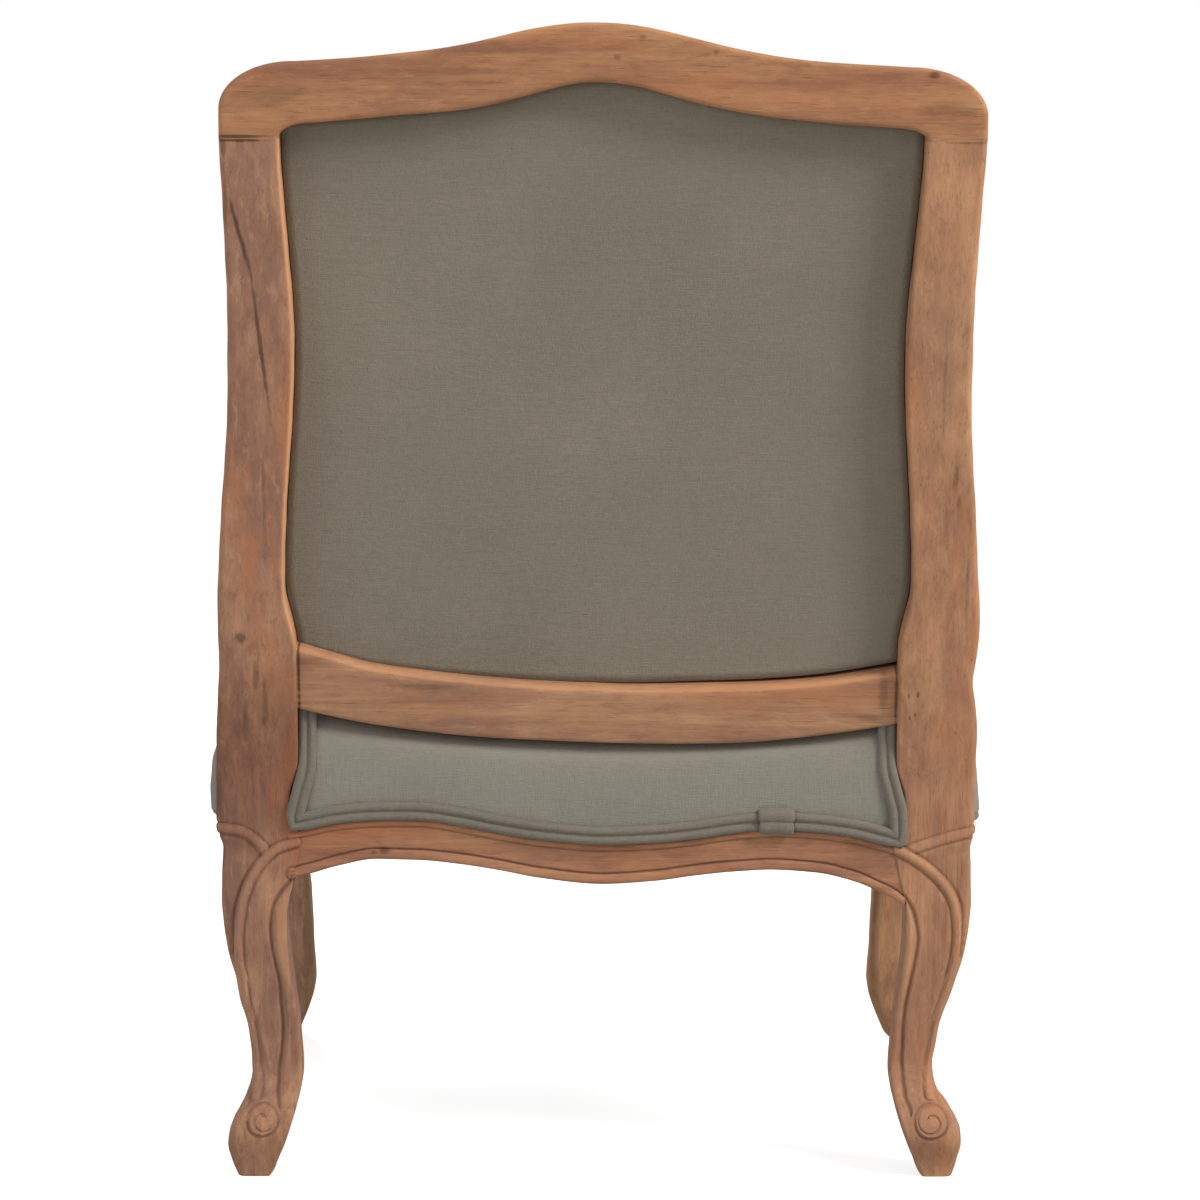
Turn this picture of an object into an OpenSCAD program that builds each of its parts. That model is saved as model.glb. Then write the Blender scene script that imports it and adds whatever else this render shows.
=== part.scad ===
// French-style show-wood lounge chair with an upholstered seat and back.
// X runs across the chair, the front faces -Y and Z is up. All sizes are in millimetres.
// The model is drawn with Y = 0 on the back of the rear legs and moved to its origin at the end.

/* [Seat frame] */
// Distance from the back of the rear legs to the front of the front legs
seat_depth = 568; // [520:4:620]
// Half the width over the rear legs
rear_half = 332; // [300:2:360]
// Half the width over the front legs
front_half = 356; // [320:2:384]
// Half the width over the side rails where they meet the rear legs
side_rail_half = 340; // [300:2:364]
// Width and depth of the square block at the top of each leg
block = 70; // [62:1:78]
// Height of the shoulders where the show wood of the legs ends
shoulder_z = 309; // [290:1:340]
// Height of the square blocks below the shoulder
block_h = 47; // [40:1:56]
// Thickness of the seat rails
rail_th = 28; // [24:1:32]
// How far the tops of the seat rails stand above the shoulders
rail_rise = 26; // [20:1:32]
// Depth of the rebate in which the seat cover ends
rebate = 2; // [1:0.5:4]
// How far the front rail bows out in the middle
front_bow = 10; // [4:1:16]

/* [Aprons] */
// Height of the show band of the seat rails
band = 35; // [28:1:40]
// How far the highest points of the band stand above the shoulders
band_lift = 2; // [0:1:6]
// Place of the highest points along half a rail
band_peak = 0.6; // [0.5:0.05:0.7]
// How far the band dips in the middle of the front and rear rails
band_drop = 17; // [8:1:20]
// How far the band dips in the middle of the side rails
side_drop = 9; // [4:1:14]
// How far the band falls from its highest point to the rear posts
rear_fall = 9; // [4:1:12]

/* [Legs] */
// Width of the sole
foot_w = 32; // [26:1:38]
// Width of the scrolled toe
toe_w = 52; // [44:1:58]
// Width of the ankle
ankle_w = 40; // [34:1:46]
// Width of the knee
knee_w = 56; // [50:1:62]
// How far the sole lies inside the outer face of the block
foot_in = 15; // [10:1:20]
// How far the toe lies inside the outer face of the block
toe_in = 7; // [4:1:12]
// How far the ankle lies inside the outer face of the block
ankle_in = 30; // [22:1:36]
// How far the knee lies inside the outer face of the block
knee_in = 2; // [0:1:6]
// Height of the widest part of the toe
toe_z = 38; // [30:1:46]
// Height of the ankle
ankle_z = 100; // [90:1:120]
// Height of the knee
knee_z = 230; // [200:1:236]
// How far the rear toes reach behind the rear face of the posts
toe_kick = 20; // [8:1:30]
// How far the rear ankles lie in front of the rear face of the posts
ankle_tuck = 10; // [4:1:16]

/* [Back frame] */
// Rake of the back from upright, in degrees
rake = 12; // [8:0.5:15]
// How far above the shoulders the posts bend into the rake
bend_rise = 41; // [40:1:50]
// Length of the bend in the posts
bend_len = 30; // [20:2:30]
// Length of the back from the bend to the top of the crest
back_len = 664; // [620:4:700]
// Depth of the posts and the crest
post_d = 38; // [34:1:42]
// Half the width over the posts at the belly
belly_half = 330; // [310:1:350]
// Half the width over the posts at the waist
waist_half = 314; // [304:1:324]
// Half the width over the posts under the crest
top_half = 318; // [308:1:330]
// Half the width of the upholstered opening above the lower rail
open_belly = 271; // [262:1:276]
// Half the width of the opening at the waist
open_waist = 259; // [250:1:264]
// Half the width of the opening under the crest
open_top = 268; // [258:1:274]
// Height of the belly above the bend
belly_v = 141; // [130:1:160]
// Height of the narrowest width of the opening and the posts above the bend
waist_v = 392; // [360:4:430]
// How far the middle of the crest rises above its shoulders
crest_rise = 33; // [20:1:40]
// Half the spread of the rise in the crest
crest_spread = 108; // [90:1:120]
// Height of the crest in the middle
crest_band = 50; // [44:1:60]
// Height of the crest at its shoulders
shoulder_band = 55; // [48:1:62]
// Width of the round outer corners of the crest
corner_w = 64; // [50:1:70]
// Height of the round outer corners of the crest
corner_h = 50; // [40:1:56]
// Distance from the shoulders of the crest down to the joint with the posts
crest_leg = 64; // [62:1:76]
// Radius of the fillets in the upper corners of the opening
crest_fillet = 18; // [12:1:24]
// How far the top of the crest falls from its back edge to its front edge
crest_bevel = 10; // [8:1:14]
// Height of the widest part of the opening above the ends of the lower rail
open_belly_rise = 58; // [40:2:80]
// Height over which the posts thin from the leg blocks to the back
block_fade = 45; // [40:1:60]
// Radius of the rounded edges of the back frame
frame_round = 5; // [3:0.5:6]

/* [Lower back rail] */
// Height of the underside of the rail above the bend, in the middle
low_rail_v = 35; // [30:1:42]
// Height of the rail itself
low_rail_h = 58; // [50:1:62]
// How far the rail lies in front of the rear face of the posts
low_rail_in = 6; // [3:1:10]
// How far the rail sags in the middle
low_rail_sag = 26; // [15:1:32]

/* [Upholstery] */
// Thickness of the covers
cover_t = 2; // [1.5:0.5:3]
// How far the side of the seat bulges past the rails
seat_bulge = 8; // [4:1:12]
// Height of the seat's edge above the top of the rails
seat_edge = 96; // [84:1:104]
// How far the middle of the seat rises above its edge
seat_crown = 24; // [10:1:34]
// Radius of the seat's plan corners
seat_corner = 24; // [18:1:40]
// How far the top edge of the seat draws in
seat_roll = 34; // [20:1:45]
// How far the rear face of the seat leans forward at its top
seat_lean = 14; // [10:1:20]
// Radius of one bead of the double piping
bead = 4; // [3:0.5:5]
// How far the inner back overlaps the front of the frame
pad_lap = 9; // [6:1:14]
// Thickness of the inner back at its edge
pad_edge = 14; // [10:1:20]
// How far the middle of the inner back stands above its edge
pad_crown = 26; // [10:1:34]
// Distance from the rear face of the posts to the outer back panel
panel_in = 25; // [18:1:28]
// Width of the wrapped join in the rear piping
wrap_w = 31; // [20:1:40]
// Distance of the wrapped join from the middle of the chair
wrap_x = 157; // [60:1:200]

/* [Webbing and blocks] */
// Width of the webbing straps
strap_w = 50; // [40:1:60]
// Thickness of the webbing straps
strap_t = 1.2; // [1:0.1:2]
// Thickness of the burlap sheets and the dust cover
burlap_t = 1; // [0.6:0.1:1.5]
// Leg length of the corner blocks along the rails
block_leg = 60; // [50:1:70]
// Height of the corner blocks
corner_block_h = 30; // [24:1:34]
// Diameter of the dowels
dowel_d = 10; // [8:0.5:12]
// Length of the dowels
dowel_l = 50; // [40:1:56]
// Diameter of the corner block screws
screw_d = 4; // [3.5:0.5:5]
// Length of the corner block screws
screw_l = 32; // [28:1:36]
// Side of the tack strips behind the outer back
strip = 12; // [8:1:14]

/* [Hidden] */

// Clearance between soft pieces and what they lie on
gap = 0.3;
// Clearance round a glued dowel and at its ends
glue = 0.1;
// How far the aprons lie inside the faces of the legs
face_in = 2;
// Spread of the inner edge of the crest
inner_spread = crest_spread * 0.86;
// Drop of the chamfers at the foot of the seat rails
rail_chamfer = 3;
// Width of the blunt ends of the corner blocks
block_end = 12;
// Distance from the head of a corner block screw to the inner face of the rail
screw_grip = 16;
// Height over the rails at which the side of the seat is fullest
side_rise = 40;
// How far the edge of the inner back rolls inward
pad_roll = 16;
// Rounding of the sole, the leg and the blocks
sole_round = 8;
leg_round = 12;
block_round = 3;

wood = [0.64, 0.47, 0.35];
linen = [0.50, 0.48, 0.43];
cord = [0.56, 0.55, 0.49];
jute = [0.76, 0.66, 0.48];
foam = [0.93, 0.90, 0.76];
steel = [0.70, 0.70, 0.72];
cambric = [0.15, 0.15, 0.16];

bend_z = shoulder_z + bend_rise;
rail_top = shoulder_z + rail_rise;
block_z = shoulder_z - block_h;
band_top = shoulder_z + band_lift;
open_seat = rear_half - block;
front_open = front_half - block;
shoulder_v = back_len - crest_rise;
joint_v = shoulder_v - crest_leg;
low_rail_top = low_rail_v + low_rail_h;
ear_v = low_rail_top + low_rail_sag;
post_thin_z = rail_top + block_fade;
webbing_z = rail_top + 2 * strap_t;
seat_base = webbing_z + burlap_t + gap;
pad_base = post_d + 2 * strap_t + burlap_t + gap;

// Shared functions
function mix(a, b, f) = a + (b - a) * f;
function smooth(f) = f * f * (3 - 2 * f);
function unit(v) = norm(v) > 0 ? v / norm(v) : v;
// Value between the stations of a list of [place, value], level at each station
function ease(k, t, i = 0) =
  t <= k[0][0] ? k[0][1]
  : i >= len(k) - 1 ? k[len(k) - 1][1]
  : t > k[i + 1][0] ? ease(k, t, i + 1)
  : mix(k[i][1], k[i + 1][1], smooth((t - k[i][0]) / (k[i + 1][0] - k[i][0])));
function steps(a, b, n) = [for (i = [0:n]) mix(a, b, i / n)];

// Rectangle with round corners as 16 points, anticlockwise
function round_rect(x0, x1, y0, y1, r) = [
  for (q = [0:3], t = [0:30:90])
    [(q == 0 || q == 3 ? x1 - r : x0 + r) + r * cos(90 * q + t),
     (q < 2 ? y1 - r : y0 + r) + r * sin(90 * q + t)]
];

// Square with round corners as a loop of 4 * (4 + edge) points in a and b from -1 to 1
function unit_loop(ra, rb, edge) = [
  for (q = [0:3])
    let (sa = q == 0 || q == 3 ? 1 : -1, sb = q < 2 ? 1 : -1,
      arc = [for (t = [0:30:90]) [sa * (1 - ra) + ra * cos(90 * q + t), sb * (1 - rb) + rb * sin(90 * q + t)]],
      na = q == 0 || q == 1 ? -1 : 1, nb = q == 0 || q == 3 ? 1 : -1,
      next = [na * (q % 2 == 0 ? 1 - ra : 1), nb * (q % 2 == 0 ? 1 : 1 - rb)])
    each concat(arc, [for (i = [1:edge]) mix(arc[3], next, i / (edge + 1))])
];

// Solid through a list of rings of equal length, closed at its ends or joined to a loop
// The first turned strips are cut along their other diagonal
module loft(rings, joined = false, turned = 0) {
  n = len(rings[0]);
  m = len(rings);
  sides = [
    for (i = [0:m - (joined ? 1 : 2)], j = [0:n - 1])
      let (a = i * n + j, b = i * n + (j + 1) % n, c = (i + 1) % m * n + j, d = (i + 1) % m * n + (j + 1) % n)
      each i < turned ? [[a, c, b], [c, d, b]] : [[a, c, d], [a, d, b]]
  ];
  ends = joined ? [] : [[for (j = [0:n - 1]) j], [for (j = [n - 1:-1:0]) (m - 1) * n + j]];
  polyhedron(points = [for (r = rings, p = r) p], faces = concat(sides, ends));
}

module both_sides() {
  children();
  mirror([1, 0, 0]) children();
}

// The frame of the raked back: X across, Z up the back, -Y toward the sitter
module on_back() {
  translate([0, 0, bend_z]) rotate([-rake, 0, 0]) children();
}

// A flat piece of the back from depth d on, drawn as X and height up the back
module plate(d, t) {
  on_back() translate([0, -d, 0]) rotate([90, 0, 0]) linear_extrude(t) children();
}

// Moves the drawing so that the origin is below the middle of the whole chair
module placed() {
  front = seat_depth - face_in + front_bow + seat_bulge;
  rear = (back_len - frame_round) * sin(rake);
  translate([0, (front - rear) / 2, 0]) children();
}

// Half widths of the back posts over their height h
leg_stations = [[0, foot_in], [toe_z, toe_in], [ankle_z, ankle_in], [knee_z, knee_in], [block_z, 0]];
leg_widths = [[0, foot_w], [toe_z, toe_w], [ankle_z, ankle_w], [knee_z, knee_w], [block_z, block]];
leg_rounds = [[0, sole_round], [toe_z, leg_round], [knee_z, leg_round], [block_z, block_round]];
function leg_in(h) = ease(leg_stations, h);
function leg_w(h) = ease(leg_widths, h);
outer_stations = [[0, rear_half], [belly_v, belly_half], [waist_v, waist_half], [joint_v, top_half]];
open_stations = [[ear_v, open_seat], [ear_v + open_belly_rise, open_belly], [waist_v, open_waist],
  [joint_v, open_top]];
function outer_half(v) = ease(outer_stations, v);
function open_half(v) = ease(open_stations, v);

// Crest outlines over the distance x from the middle
function crest_top(x) = shoulder_v + crest_rise * exp(-pow(x / crest_spread, 2));
function crest_in(x) = mix(shoulder_v - shoulder_band, back_len - crest_band,
  (1 / (1 + pow(x / inner_spread, 2)) - crest_tail) / (1 - crest_tail));
crest_tail = 1 / (1 + pow((open_top - crest_fillet) / inner_spread, 2));
function low_top(x) = low_rail_top + low_rail_sag * pow(x / open_seat, 2);
function low_bottom(x) = low_rail_v + low_rail_sag * pow(x / open_seat, 2);

// Point of a post at height h along its spine, bent into the rake
function spine(h, x, y) =
  let (w = bend_len / 2, v = h - bend_z, r = w / tan(rake / 2), a = rake * min(1, max(0, (v + w) / bend_len)))
  let (p = v <= -w ? [0, h]
    : v >= w ? [v * sin(rake), bend_z + v * cos(rake)]
    : [r * (1 - cos(a)), bend_z - w + r * sin(a)])
  [x, p[0] + y * cos(a), p[1] - y * sin(a)];

function post_ring(h) =
  let (out = h < bend_z ? rear_half - leg_in(h) : outer_half(h - bend_z),
    inn = h < bend_z ? out - leg_w(h) : open_half(h - bend_z),
    kick = ease([[0, toe_kick + toe_in - foot_in], [toe_z, toe_kick], [ankle_z, -ankle_tuck], [knee_z, knee_in],
      [block_z, 0]], h),
    deep = h < rail_top ? leg_w(h) : ease([[rail_top, block], [post_thin_z, post_d]], h),
    r = h < rail_top ? ease(leg_rounds, h) : frame_round)
  [for (p = round_rect(inn, out, kick - deep, kick, r)) spine(h, p[0], p[1])];

module left_post_body() {
  heights = concat(steps(0, block_z, 20), steps(block_z + 10, rail_top, 4),
    steps(rail_top + 5, post_thin_z, 6), steps(post_thin_z + 15, bend_z + joint_v, 20));
  loft([for (h = heights) post_ring(h)]);
}

// Dowels of the left side, or their holes with extra room
module dowel(p, turn, extra) {
  translate(p) rotate(turn) cylinder(d = dowel_d + 2 * extra, h = dowel_l + 2 * extra, center = true, $fn = 32);
}

function half_at(y) =
  mix(side_rail_half, front_half - face_in, min(1, (-y - block) / (seat_depth - 2 * block)));
dowel_in = face_in + rail_th * 0.6;
dowel_heights = [block_z + dowel_d * 1.6, rail_top - dowel_d * 1.6];

module rear_rail_dowels(extra = 0) {
  for (z = dowel_heights) dowel([open_seat, -dowel_in, z], [0, 90, 0], extra);
}

module front_rail_dowels(extra = 0) {
  for (z = dowel_heights) dowel([front_open, dowel_in - seat_depth, z], [0, 90, 0], extra);
}

module side_rail_dowels(extra = 0) {
  for (z = dowel_heights, y = [-block, block - seat_depth])
    dowel([half_at(y) - dowel_in, y, z], [90, 0, 0], extra);
}

module low_rail_dowels(extra = 0) {
  middle = low_rail_v + low_rail_sag + low_rail_h / 2;
  for (v = [-1, 1] * low_rail_h / 4)
    on_back() dowel([open_seat, -(low_rail_in + post_d) / 2, middle + v], [0, 90, 0], extra);
}

module crest_dowels_left(extra = 0) {
  for (x = [-1, 1] * (top_half - open_top) / 4)
    on_back() dowel([(open_top + top_half) / 2 + x, -post_d / 2, joint_v], [0, 0, 0], extra);
}

module left_back_post() {
  color(wood) placed() difference() {
    left_post_body();
    rear_rail_dowels(glue);
    side_rail_dowels(glue);
    low_rail_dowels(glue);
    crest_dowels_left(glue);
  }
}

module right_back_post() {
  mirror([1, 0, 0]) left_back_post();
}

// Section of the crest between its inner point a and its outer point b, both X and height
function crest_ring(a, b) =
  let (len = norm(b - a), e = (b - a) / len, fall = crest_bevel * max(0, e[1]) / len)
  [for (p = round_rect(0, len, 0, post_d, frame_round))
    let (t = p[0] * (1 - fall * p[1] / post_d)) [a[0] + e[0] * t, -p[1], a[1] + e[1] * t]];

module crest_rail() {
  lip = 2;
  corner_x = top_half - corner_w;
  corner_v = shoulder_v - corner_h;
  fillet_x = open_top - crest_fillet;
  fillet_v = crest_in(fillet_x) - joint_v - lip;
  half = concat(
    [[[open_top, joint_v], [top_half, joint_v]]],
    [for (t = [0:15:90])
      [[fillet_x + crest_fillet * cos(t), joint_v + lip + fillet_v * sin(t)],
       [corner_x + corner_w * cos(t), corner_v + corner_h * sin(t)]]],
    [for (f = [1:-1 / 12:0.01]) let (g = f - 1 / 12)
      [[fillet_x * g, crest_in(fillet_x * g)], [corner_x * g, crest_top(corner_x * g)]]]);
  n = len(half);
  other = [for (i = [n - 2:-1:0]) [[-half[i][0][0], half[i][0][1]], [-half[i][1][0], half[i][1][1]]]];
  color(wood) placed() difference() {
    on_back() loft([for (p = concat(half, other)) crest_ring(p[0], p[1])]);
    both_sides() crest_dowels_left(glue);
  }
}

module lower_back_rail() {
  xs = steps(-open_seat, open_seat, 28);
  color(wood) placed() difference() {
    plate(low_rail_in, post_d - low_rail_in)
      polygon(concat([for (x = xs) [x, low_bottom(x)]], [for (i = [28:-1:0]) [xs[i], low_top(xs[i])]]));
    both_sides() low_rail_dowels(glue);
  }
}

// Upper edge of the show band at distance s from the middle of a rail of half length l
function band_line(s, l, drop, fall) =
  let (peak = band_peak * l, f = abs(s) / peak)
  f < 1 ? band_top - drop * (1 - smooth(f)) : band_top - fall * smooth(min(1, (abs(s) - peak) / (l - peak)));
function band_foot(s, l, drop, fall) =
  let (peak = band_peak * l)
  abs(s) < peak ? band_line(s, l, drop, fall) - band
  : mix(band_top - band, block_z, smooth((abs(s) - peak) / (l - peak)));

// Section of a seat rail: inward distance and height, at bow b of its outer face
function rail_section(foot_z, top_z, b) =
  let (r = rebate / 2)
  [[rail_chamfer - b, foot_z], [rail_th, foot_z], [rail_th, rail_top], [rebate - b, rail_top],
   [rebate - b, top_z], [r - b, top_z], [-b, top_z - r], [-b, foot_z + rail_chamfer]];

function bow_at(x) = front_bow * max(0, 1 - pow(x / front_open, 2));
side_mid = -seat_depth / 2;
side_len = seat_depth / 2 - block;

module rear_seat_rail() {
  color(wood) placed() difference() {
    loft([for (s = steps(-open_seat, open_seat, 32))
      [for (p = rail_section(band_foot(s, open_seat, band_drop, rear_fall),
        band_line(s, open_seat, band_drop, rear_fall), 0)) [-s, -face_in - p[0], p[1]]]]);
    both_sides() {
      rear_rail_dowels(glue);
      rear_corner_screws(glue);
    }
  }
}

module front_seat_rail() {
  color(wood) placed() difference() {
    loft([for (s = steps(-front_open, front_open, 32))
      [for (p = rail_section(band_foot(s, front_open, band_drop, band_lift),
        band_line(s, front_open, band_drop, band_lift), bow_at(s))) [s, face_in - seat_depth + p[0], p[1]]]]);
    both_sides() {
      front_rail_dowels(glue);
      front_corner_screws(glue);
    }
  }
}

module left_side_rail() {
  color(wood) placed() difference() {
    loft([for (s = steps(-side_len, side_len, 20))
      [for (p = rail_section(band_foot(s, side_len, side_drop, band_lift),
        band_line(s, side_len, side_drop, band_lift), 0)) [half_at(side_mid + s) - p[0], side_mid + s, p[1]]]]);
    side_rail_dowels(glue);
    rear_corner_screws(glue);
    front_corner_screws(glue);
  }
}

module right_side_rail() {
  mirror([1, 0, 0]) left_side_rail();
}

// Inset of the top of a front leg, which is rounded to stay under the cover
tenon_in = face_in + rebate + 1;
module front_left_leg() {
  heights = concat(steps(0, block_z, 20), [block_z + block_h / 2, shoulder_z, shoulder_z + gap / 2, rail_top]);
  color(wood) placed() difference() {
    loft([for (h = heights)
      let (tenon = h > shoulder_z, in = tenon ? tenon_in : leg_in(h), w = tenon ? block - in : leg_w(h),
        r = tenon ? seat_corner - cover_t : ease(leg_rounds, h), o = front_half - in, front = in - seat_depth)
      [for (p = round_rect(o - w, o, front, front + w, r)) [p[0], p[1], h]]]);
    front_rail_dowels(glue);
    side_rail_dowels(glue);
  }
}

module front_right_leg() {
  mirror([1, 0, 0]) front_left_leg();
}

// Corner blocks stand in the corners of the frame, notched round the leg blocks
block_top = rail_top - 6;
block_foot = block_top - corner_block_h;
rear_in = face_in + rail_th;
function side_in(y) = half_at(y) - rail_th;
module corner_block(corner_x, rail_y, toward) {
  leg_y = rail_y > -seat_depth / 2 ? -block : block - seat_depth;
  far_y = leg_y + toward * block_leg;
  translate([0, 0, block_foot]) linear_extrude(corner_block_h)
    polygon([[corner_x - block_leg, rail_y], [corner_x, rail_y], [corner_x, leg_y], [side_in(leg_y), leg_y],
      [side_in(far_y), far_y], [side_in(far_y) - block_end, far_y],
      [corner_x - block_leg, rail_y + toward * block_end]]);
}

// Screws through one corner block into its two rails, or their holes
screw_z = block_foot + 2 * screw_d;
head_l = 3;
module screw(p, turn, extra, room) {
  translate(p) rotate(turn) {
    translate([0, 0, -extra]) cylinder(d = screw_d + 2 * extra, h = screw_l + 2 * extra, $fn = 24);
    translate([0, 0, -head_l - room])
      cylinder(d = 2 * screw_d + 2 * extra, h = head_l + room + extra, $fn = 24);
  }
}
module corner_screws(corner_x, rail_y, toward, extra = 0, room = 0) {
  leg_y = rail_y > -seat_depth / 2 ? -block : block - seat_depth;
  screw([corner_x - block_leg / 2, rail_y + toward * screw_grip, screw_z], [toward * 90, 0, 0], extra, room);
  screw([side_in(leg_y) - screw_grip, leg_y + toward * block_leg / 2, screw_z], [0, 90, 0], extra, room);
}
module rear_corner_screws(extra = 0, room = 0) {
  corner_screws(open_seat, -rear_in, -1, extra, room);
}
module front_corner_screws(extra = 0, room = 0) {
  corner_screws(front_open, rear_in - seat_depth, 1, extra, room);
}

module rear_left_corner_block() {
  color(wood) placed() difference() {
    corner_block(open_seat, -rear_in, -1);
    rear_corner_screws(glue, block_leg);
  }
}

module rear_right_corner_block() {
  mirror([1, 0, 0]) rear_left_corner_block();
}

module front_left_corner_block() {
  color(wood) placed() difference() {
    corner_block(front_open, rear_in - seat_depth, 1);
    front_corner_screws(glue, block_leg);
  }
}

module front_right_corner_block() {
  mirror([1, 0, 0]) front_left_corner_block();
}

module corner_block_screws() {
  color(steel) placed() both_sides() {
    rear_corner_screws();
    front_corner_screws();
  }
}

module crest_dowels() {
  color(wood) placed() both_sides() crest_dowels_left();
}

module lower_back_rail_dowels() {
  color(wood) placed() both_sides() low_rail_dowels();
}

module seat_rail_dowels() {
  color(wood) placed() both_sides() {
    rear_rail_dowels();
    front_rail_dowels();
    side_rail_dowels();
  }
}

// Webbing lies on the rails, crosswise straps on the lengthwise ones
strap_edge = 8;
module seat_webbing_lengthwise() {
  pitch = (2 * open_seat - strap_w) / 5;
  color(jute) placed()
    for (i = [-2:2])
      translate([i * pitch - strap_w / 2, strap_edge + face_in - seat_depth, rail_top])
        cube([strap_w, seat_depth - 2 * (strap_edge + face_in), strap_t]);
}

module seat_webbing_crosswise() {
  pitch = (seat_depth - 2 * block) / 4;
  color(jute) placed()
    for (i = [0:3]) {
      y = -block - (i + 0.5) * pitch;
      half = half_at(y + strap_w / 2) - strap_edge;
      translate([-half, y - strap_w / 2, rail_top + strap_t]) cube([2 * half, strap_w, strap_t]);
    }
}

// Place of a point of the seat's sides: a across and b from front to rear, both from -1 to 1
function seat_front(x, out) = face_in - seat_depth - bow_at(x) - out;
function seat_xy(a, b, out) =
  let (y = mix(seat_front(a * front_half, out), 0, (b + 1) / 2)) [a * (half_at(y) + out), y];

// Height of the top of the show band next to a point of the plan
function band_at(x, y) =
  let (s = y - side_mid, front = y < block - seat_depth, rear = y > -block)
  front && abs(x) < front_open ? band_line(x, front_open, band_drop, band_lift)
  : rear && abs(x) < open_seat ? band_line(x, open_seat, band_drop, rear_fall)
  : band_line(max(-side_len, min(side_len, s)), side_len, side_drop, band_lift);

// Height of the cover's lower edge above the band, behind the piping
cover_lift = 3;
over_rails = rail_top + 5;
side_z = rail_top + side_rise;
edge_z = rail_top + seat_edge;
last_roll = 75;
// Sizes of the rings that close the top of a cushion
dome = [0.82, 0.6, 0.34, 0.1];
corner_a = seat_corner / front_half;
corner_b = 2 * seat_corner / seat_depth;

// Front of a back post and of the lower back rail at height z
spine_drop = 10;
function post_front(z) =
  let (h = z - spine_drop, deep = ease([[rail_top, block], [post_thin_z, post_d]], h))
  spine(h, 0, -deep)[1] - gap;
function rail_front(z) = (z - bend_z) * tan(rake) - (post_d + 2 * gap) / cos(rake);
function under_rail(x, d) = bend_z + low_bottom(x) * cos(rake) + d * sin(rake) - 2 * gap;
function rear_face(z) = gap - face_in - seat_lean * smooth(min(1, max(0, (z - rail_top) / seat_edge)));

// Rings of the seat: [part of the height to side_z or -1, roll in degrees, bulge]
seat_levels = [[0, 0, gap], [0.3, 0, gap], [0.5, 0, seat_bulge * 0.75], [0.72, 0, seat_bulge],
  [1, 0, seat_bulge], [-1, 25, seat_bulge], [-1, 50, seat_bulge], [-1, last_roll, seat_bulge]];

// Places along the front and the side of the seat, from the middle of the front to b_end, with n steps a side
function side_places(n, turns, b_end) = concat(
  [for (a = steps(0, front_open / front_half, n)) [a, -1]], [[1 - corner_a, -1]],
  [for (t = turns) [1 - corner_a + corner_a * sin(t), corner_b - 1 - corner_b * cos(t)]],
  [for (b = steps(2 * block / seat_depth - 1, b_end, n - 1)) [1, b]]);

// Half of a ring from the middle of the front round the side and the post to the middle of the rear
// Beside the post the lower edge rises over the rails, which run through there
post_step = 2.5;
function seat_half_ring(k, skin, clear = 0) =
  let (level = seat_levels[k], t = level[1], out = level[2] - seat_roll * (1 - cos(t)) - skin,
    z_side = mix(side_z, edge_z, sin(t)) - skin * sin(t), rolled = level[0] < 0,
    notch = post_front(rolled ? z_side : mix(band_top, side_z, level[0])) - skin - clear,
    sides = [for (u = side_places(6, [30, 60, 90], 1 + 2 * (notch - post_step) / seat_depth))
      let (p = seat_xy(u[0], u[1], out), base = band_at(p[0], p[1]) + cover_lift)
      [p[0], p[1], rolled ? z_side : mix(base, side_z, level[0])]],
    x_in = open_seat - 2 * gap - skin, z_in = rolled ? z_side : mix(over_rails, side_z, level[0]))
  concat(sides, [[half_at(notch) + out, notch, z_in], [x_in, notch, z_in]],
    [seat_rear_point(k, x_in, skin, over_rails)],
    [for (x = steps(x_in - post_step, 0, 5)) seat_rear_point(k, x, skin, band_at(x, -1) + cover_lift)]);

// Point of the rear edge, which passes under the lower rail and up its front, clear of the inner piping
function seat_rear_point(k, x, skin, base) =
  let (below = under_rail(x, low_rail_in) - skin,
    z = k < 4 ? mix(base, below, seat_levels[k][0] / 1.1)
      : k == 4 ? below
      : k == 5 ? under_rail(x, post_d) - skin
      : k == 6 ? mix(under_rail(x, post_d), edge_z, 0.4)
      : mix(side_z, edge_z, sin(last_roll)) - skin,
    y = k < 5 ? rear_face(z) : rail_front(z) - [0, 2.2 * bead, 3 * bead][k - 5])
  [x, y - skin, z];

function whole_ring(half) =
  concat(half, [for (i = [len(half) - 2:-1:1]) [-half[i][0], half[i][1], half[i][2]]]);
// The top closes in rings that shrink to the middle and rise to the crown
function seat_rings(skin, clear = 0, first = 0) =
  let (rings = [for (k = [first:7]) whole_ring(seat_half_ring(k, skin, clear))], edge = rings[len(rings) - 1],
    middle = [0, side_mid, mix(side_z, edge_z, sin(last_roll)) + seat_crown - skin])
  concat(rings, [for (s = dome)
    [for (p = edge) [s * p[0], mix(middle[1], p[1], s), mix(p[2], middle[2], 1 - s * s)]]]);

// A cover as one skin, down its inside and up its outside
module skin_of(inside, outside) {
  n = len(inside);
  loft(concat([for (i = [1:n]) inside[n - i]], outside), turned = n - 1);
}

module seat_cover() {
  color(linen) placed() skin_of(seat_rings(cover_t), seat_rings(0));
}

module seat_foam() {
  skin = cover_t + 2 * gap;
  clear = 5 * post_step;
  base = [for (p = whole_ring(seat_half_ring(2, 2 * skin, clear))) [p[0], p[1], seat_base]];
  color(foam) placed() loft(concat([base], seat_rings(skin, clear, 3)));
}

module seat_burlap() {
  color(jute) placed() translate([0, 0, webbing_z]) linear_extrude(burlap_t)
    polygon([for (p = whole_ring(seat_half_ring(0, strap_edge))) [p[0], p[1]]]);
}

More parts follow.
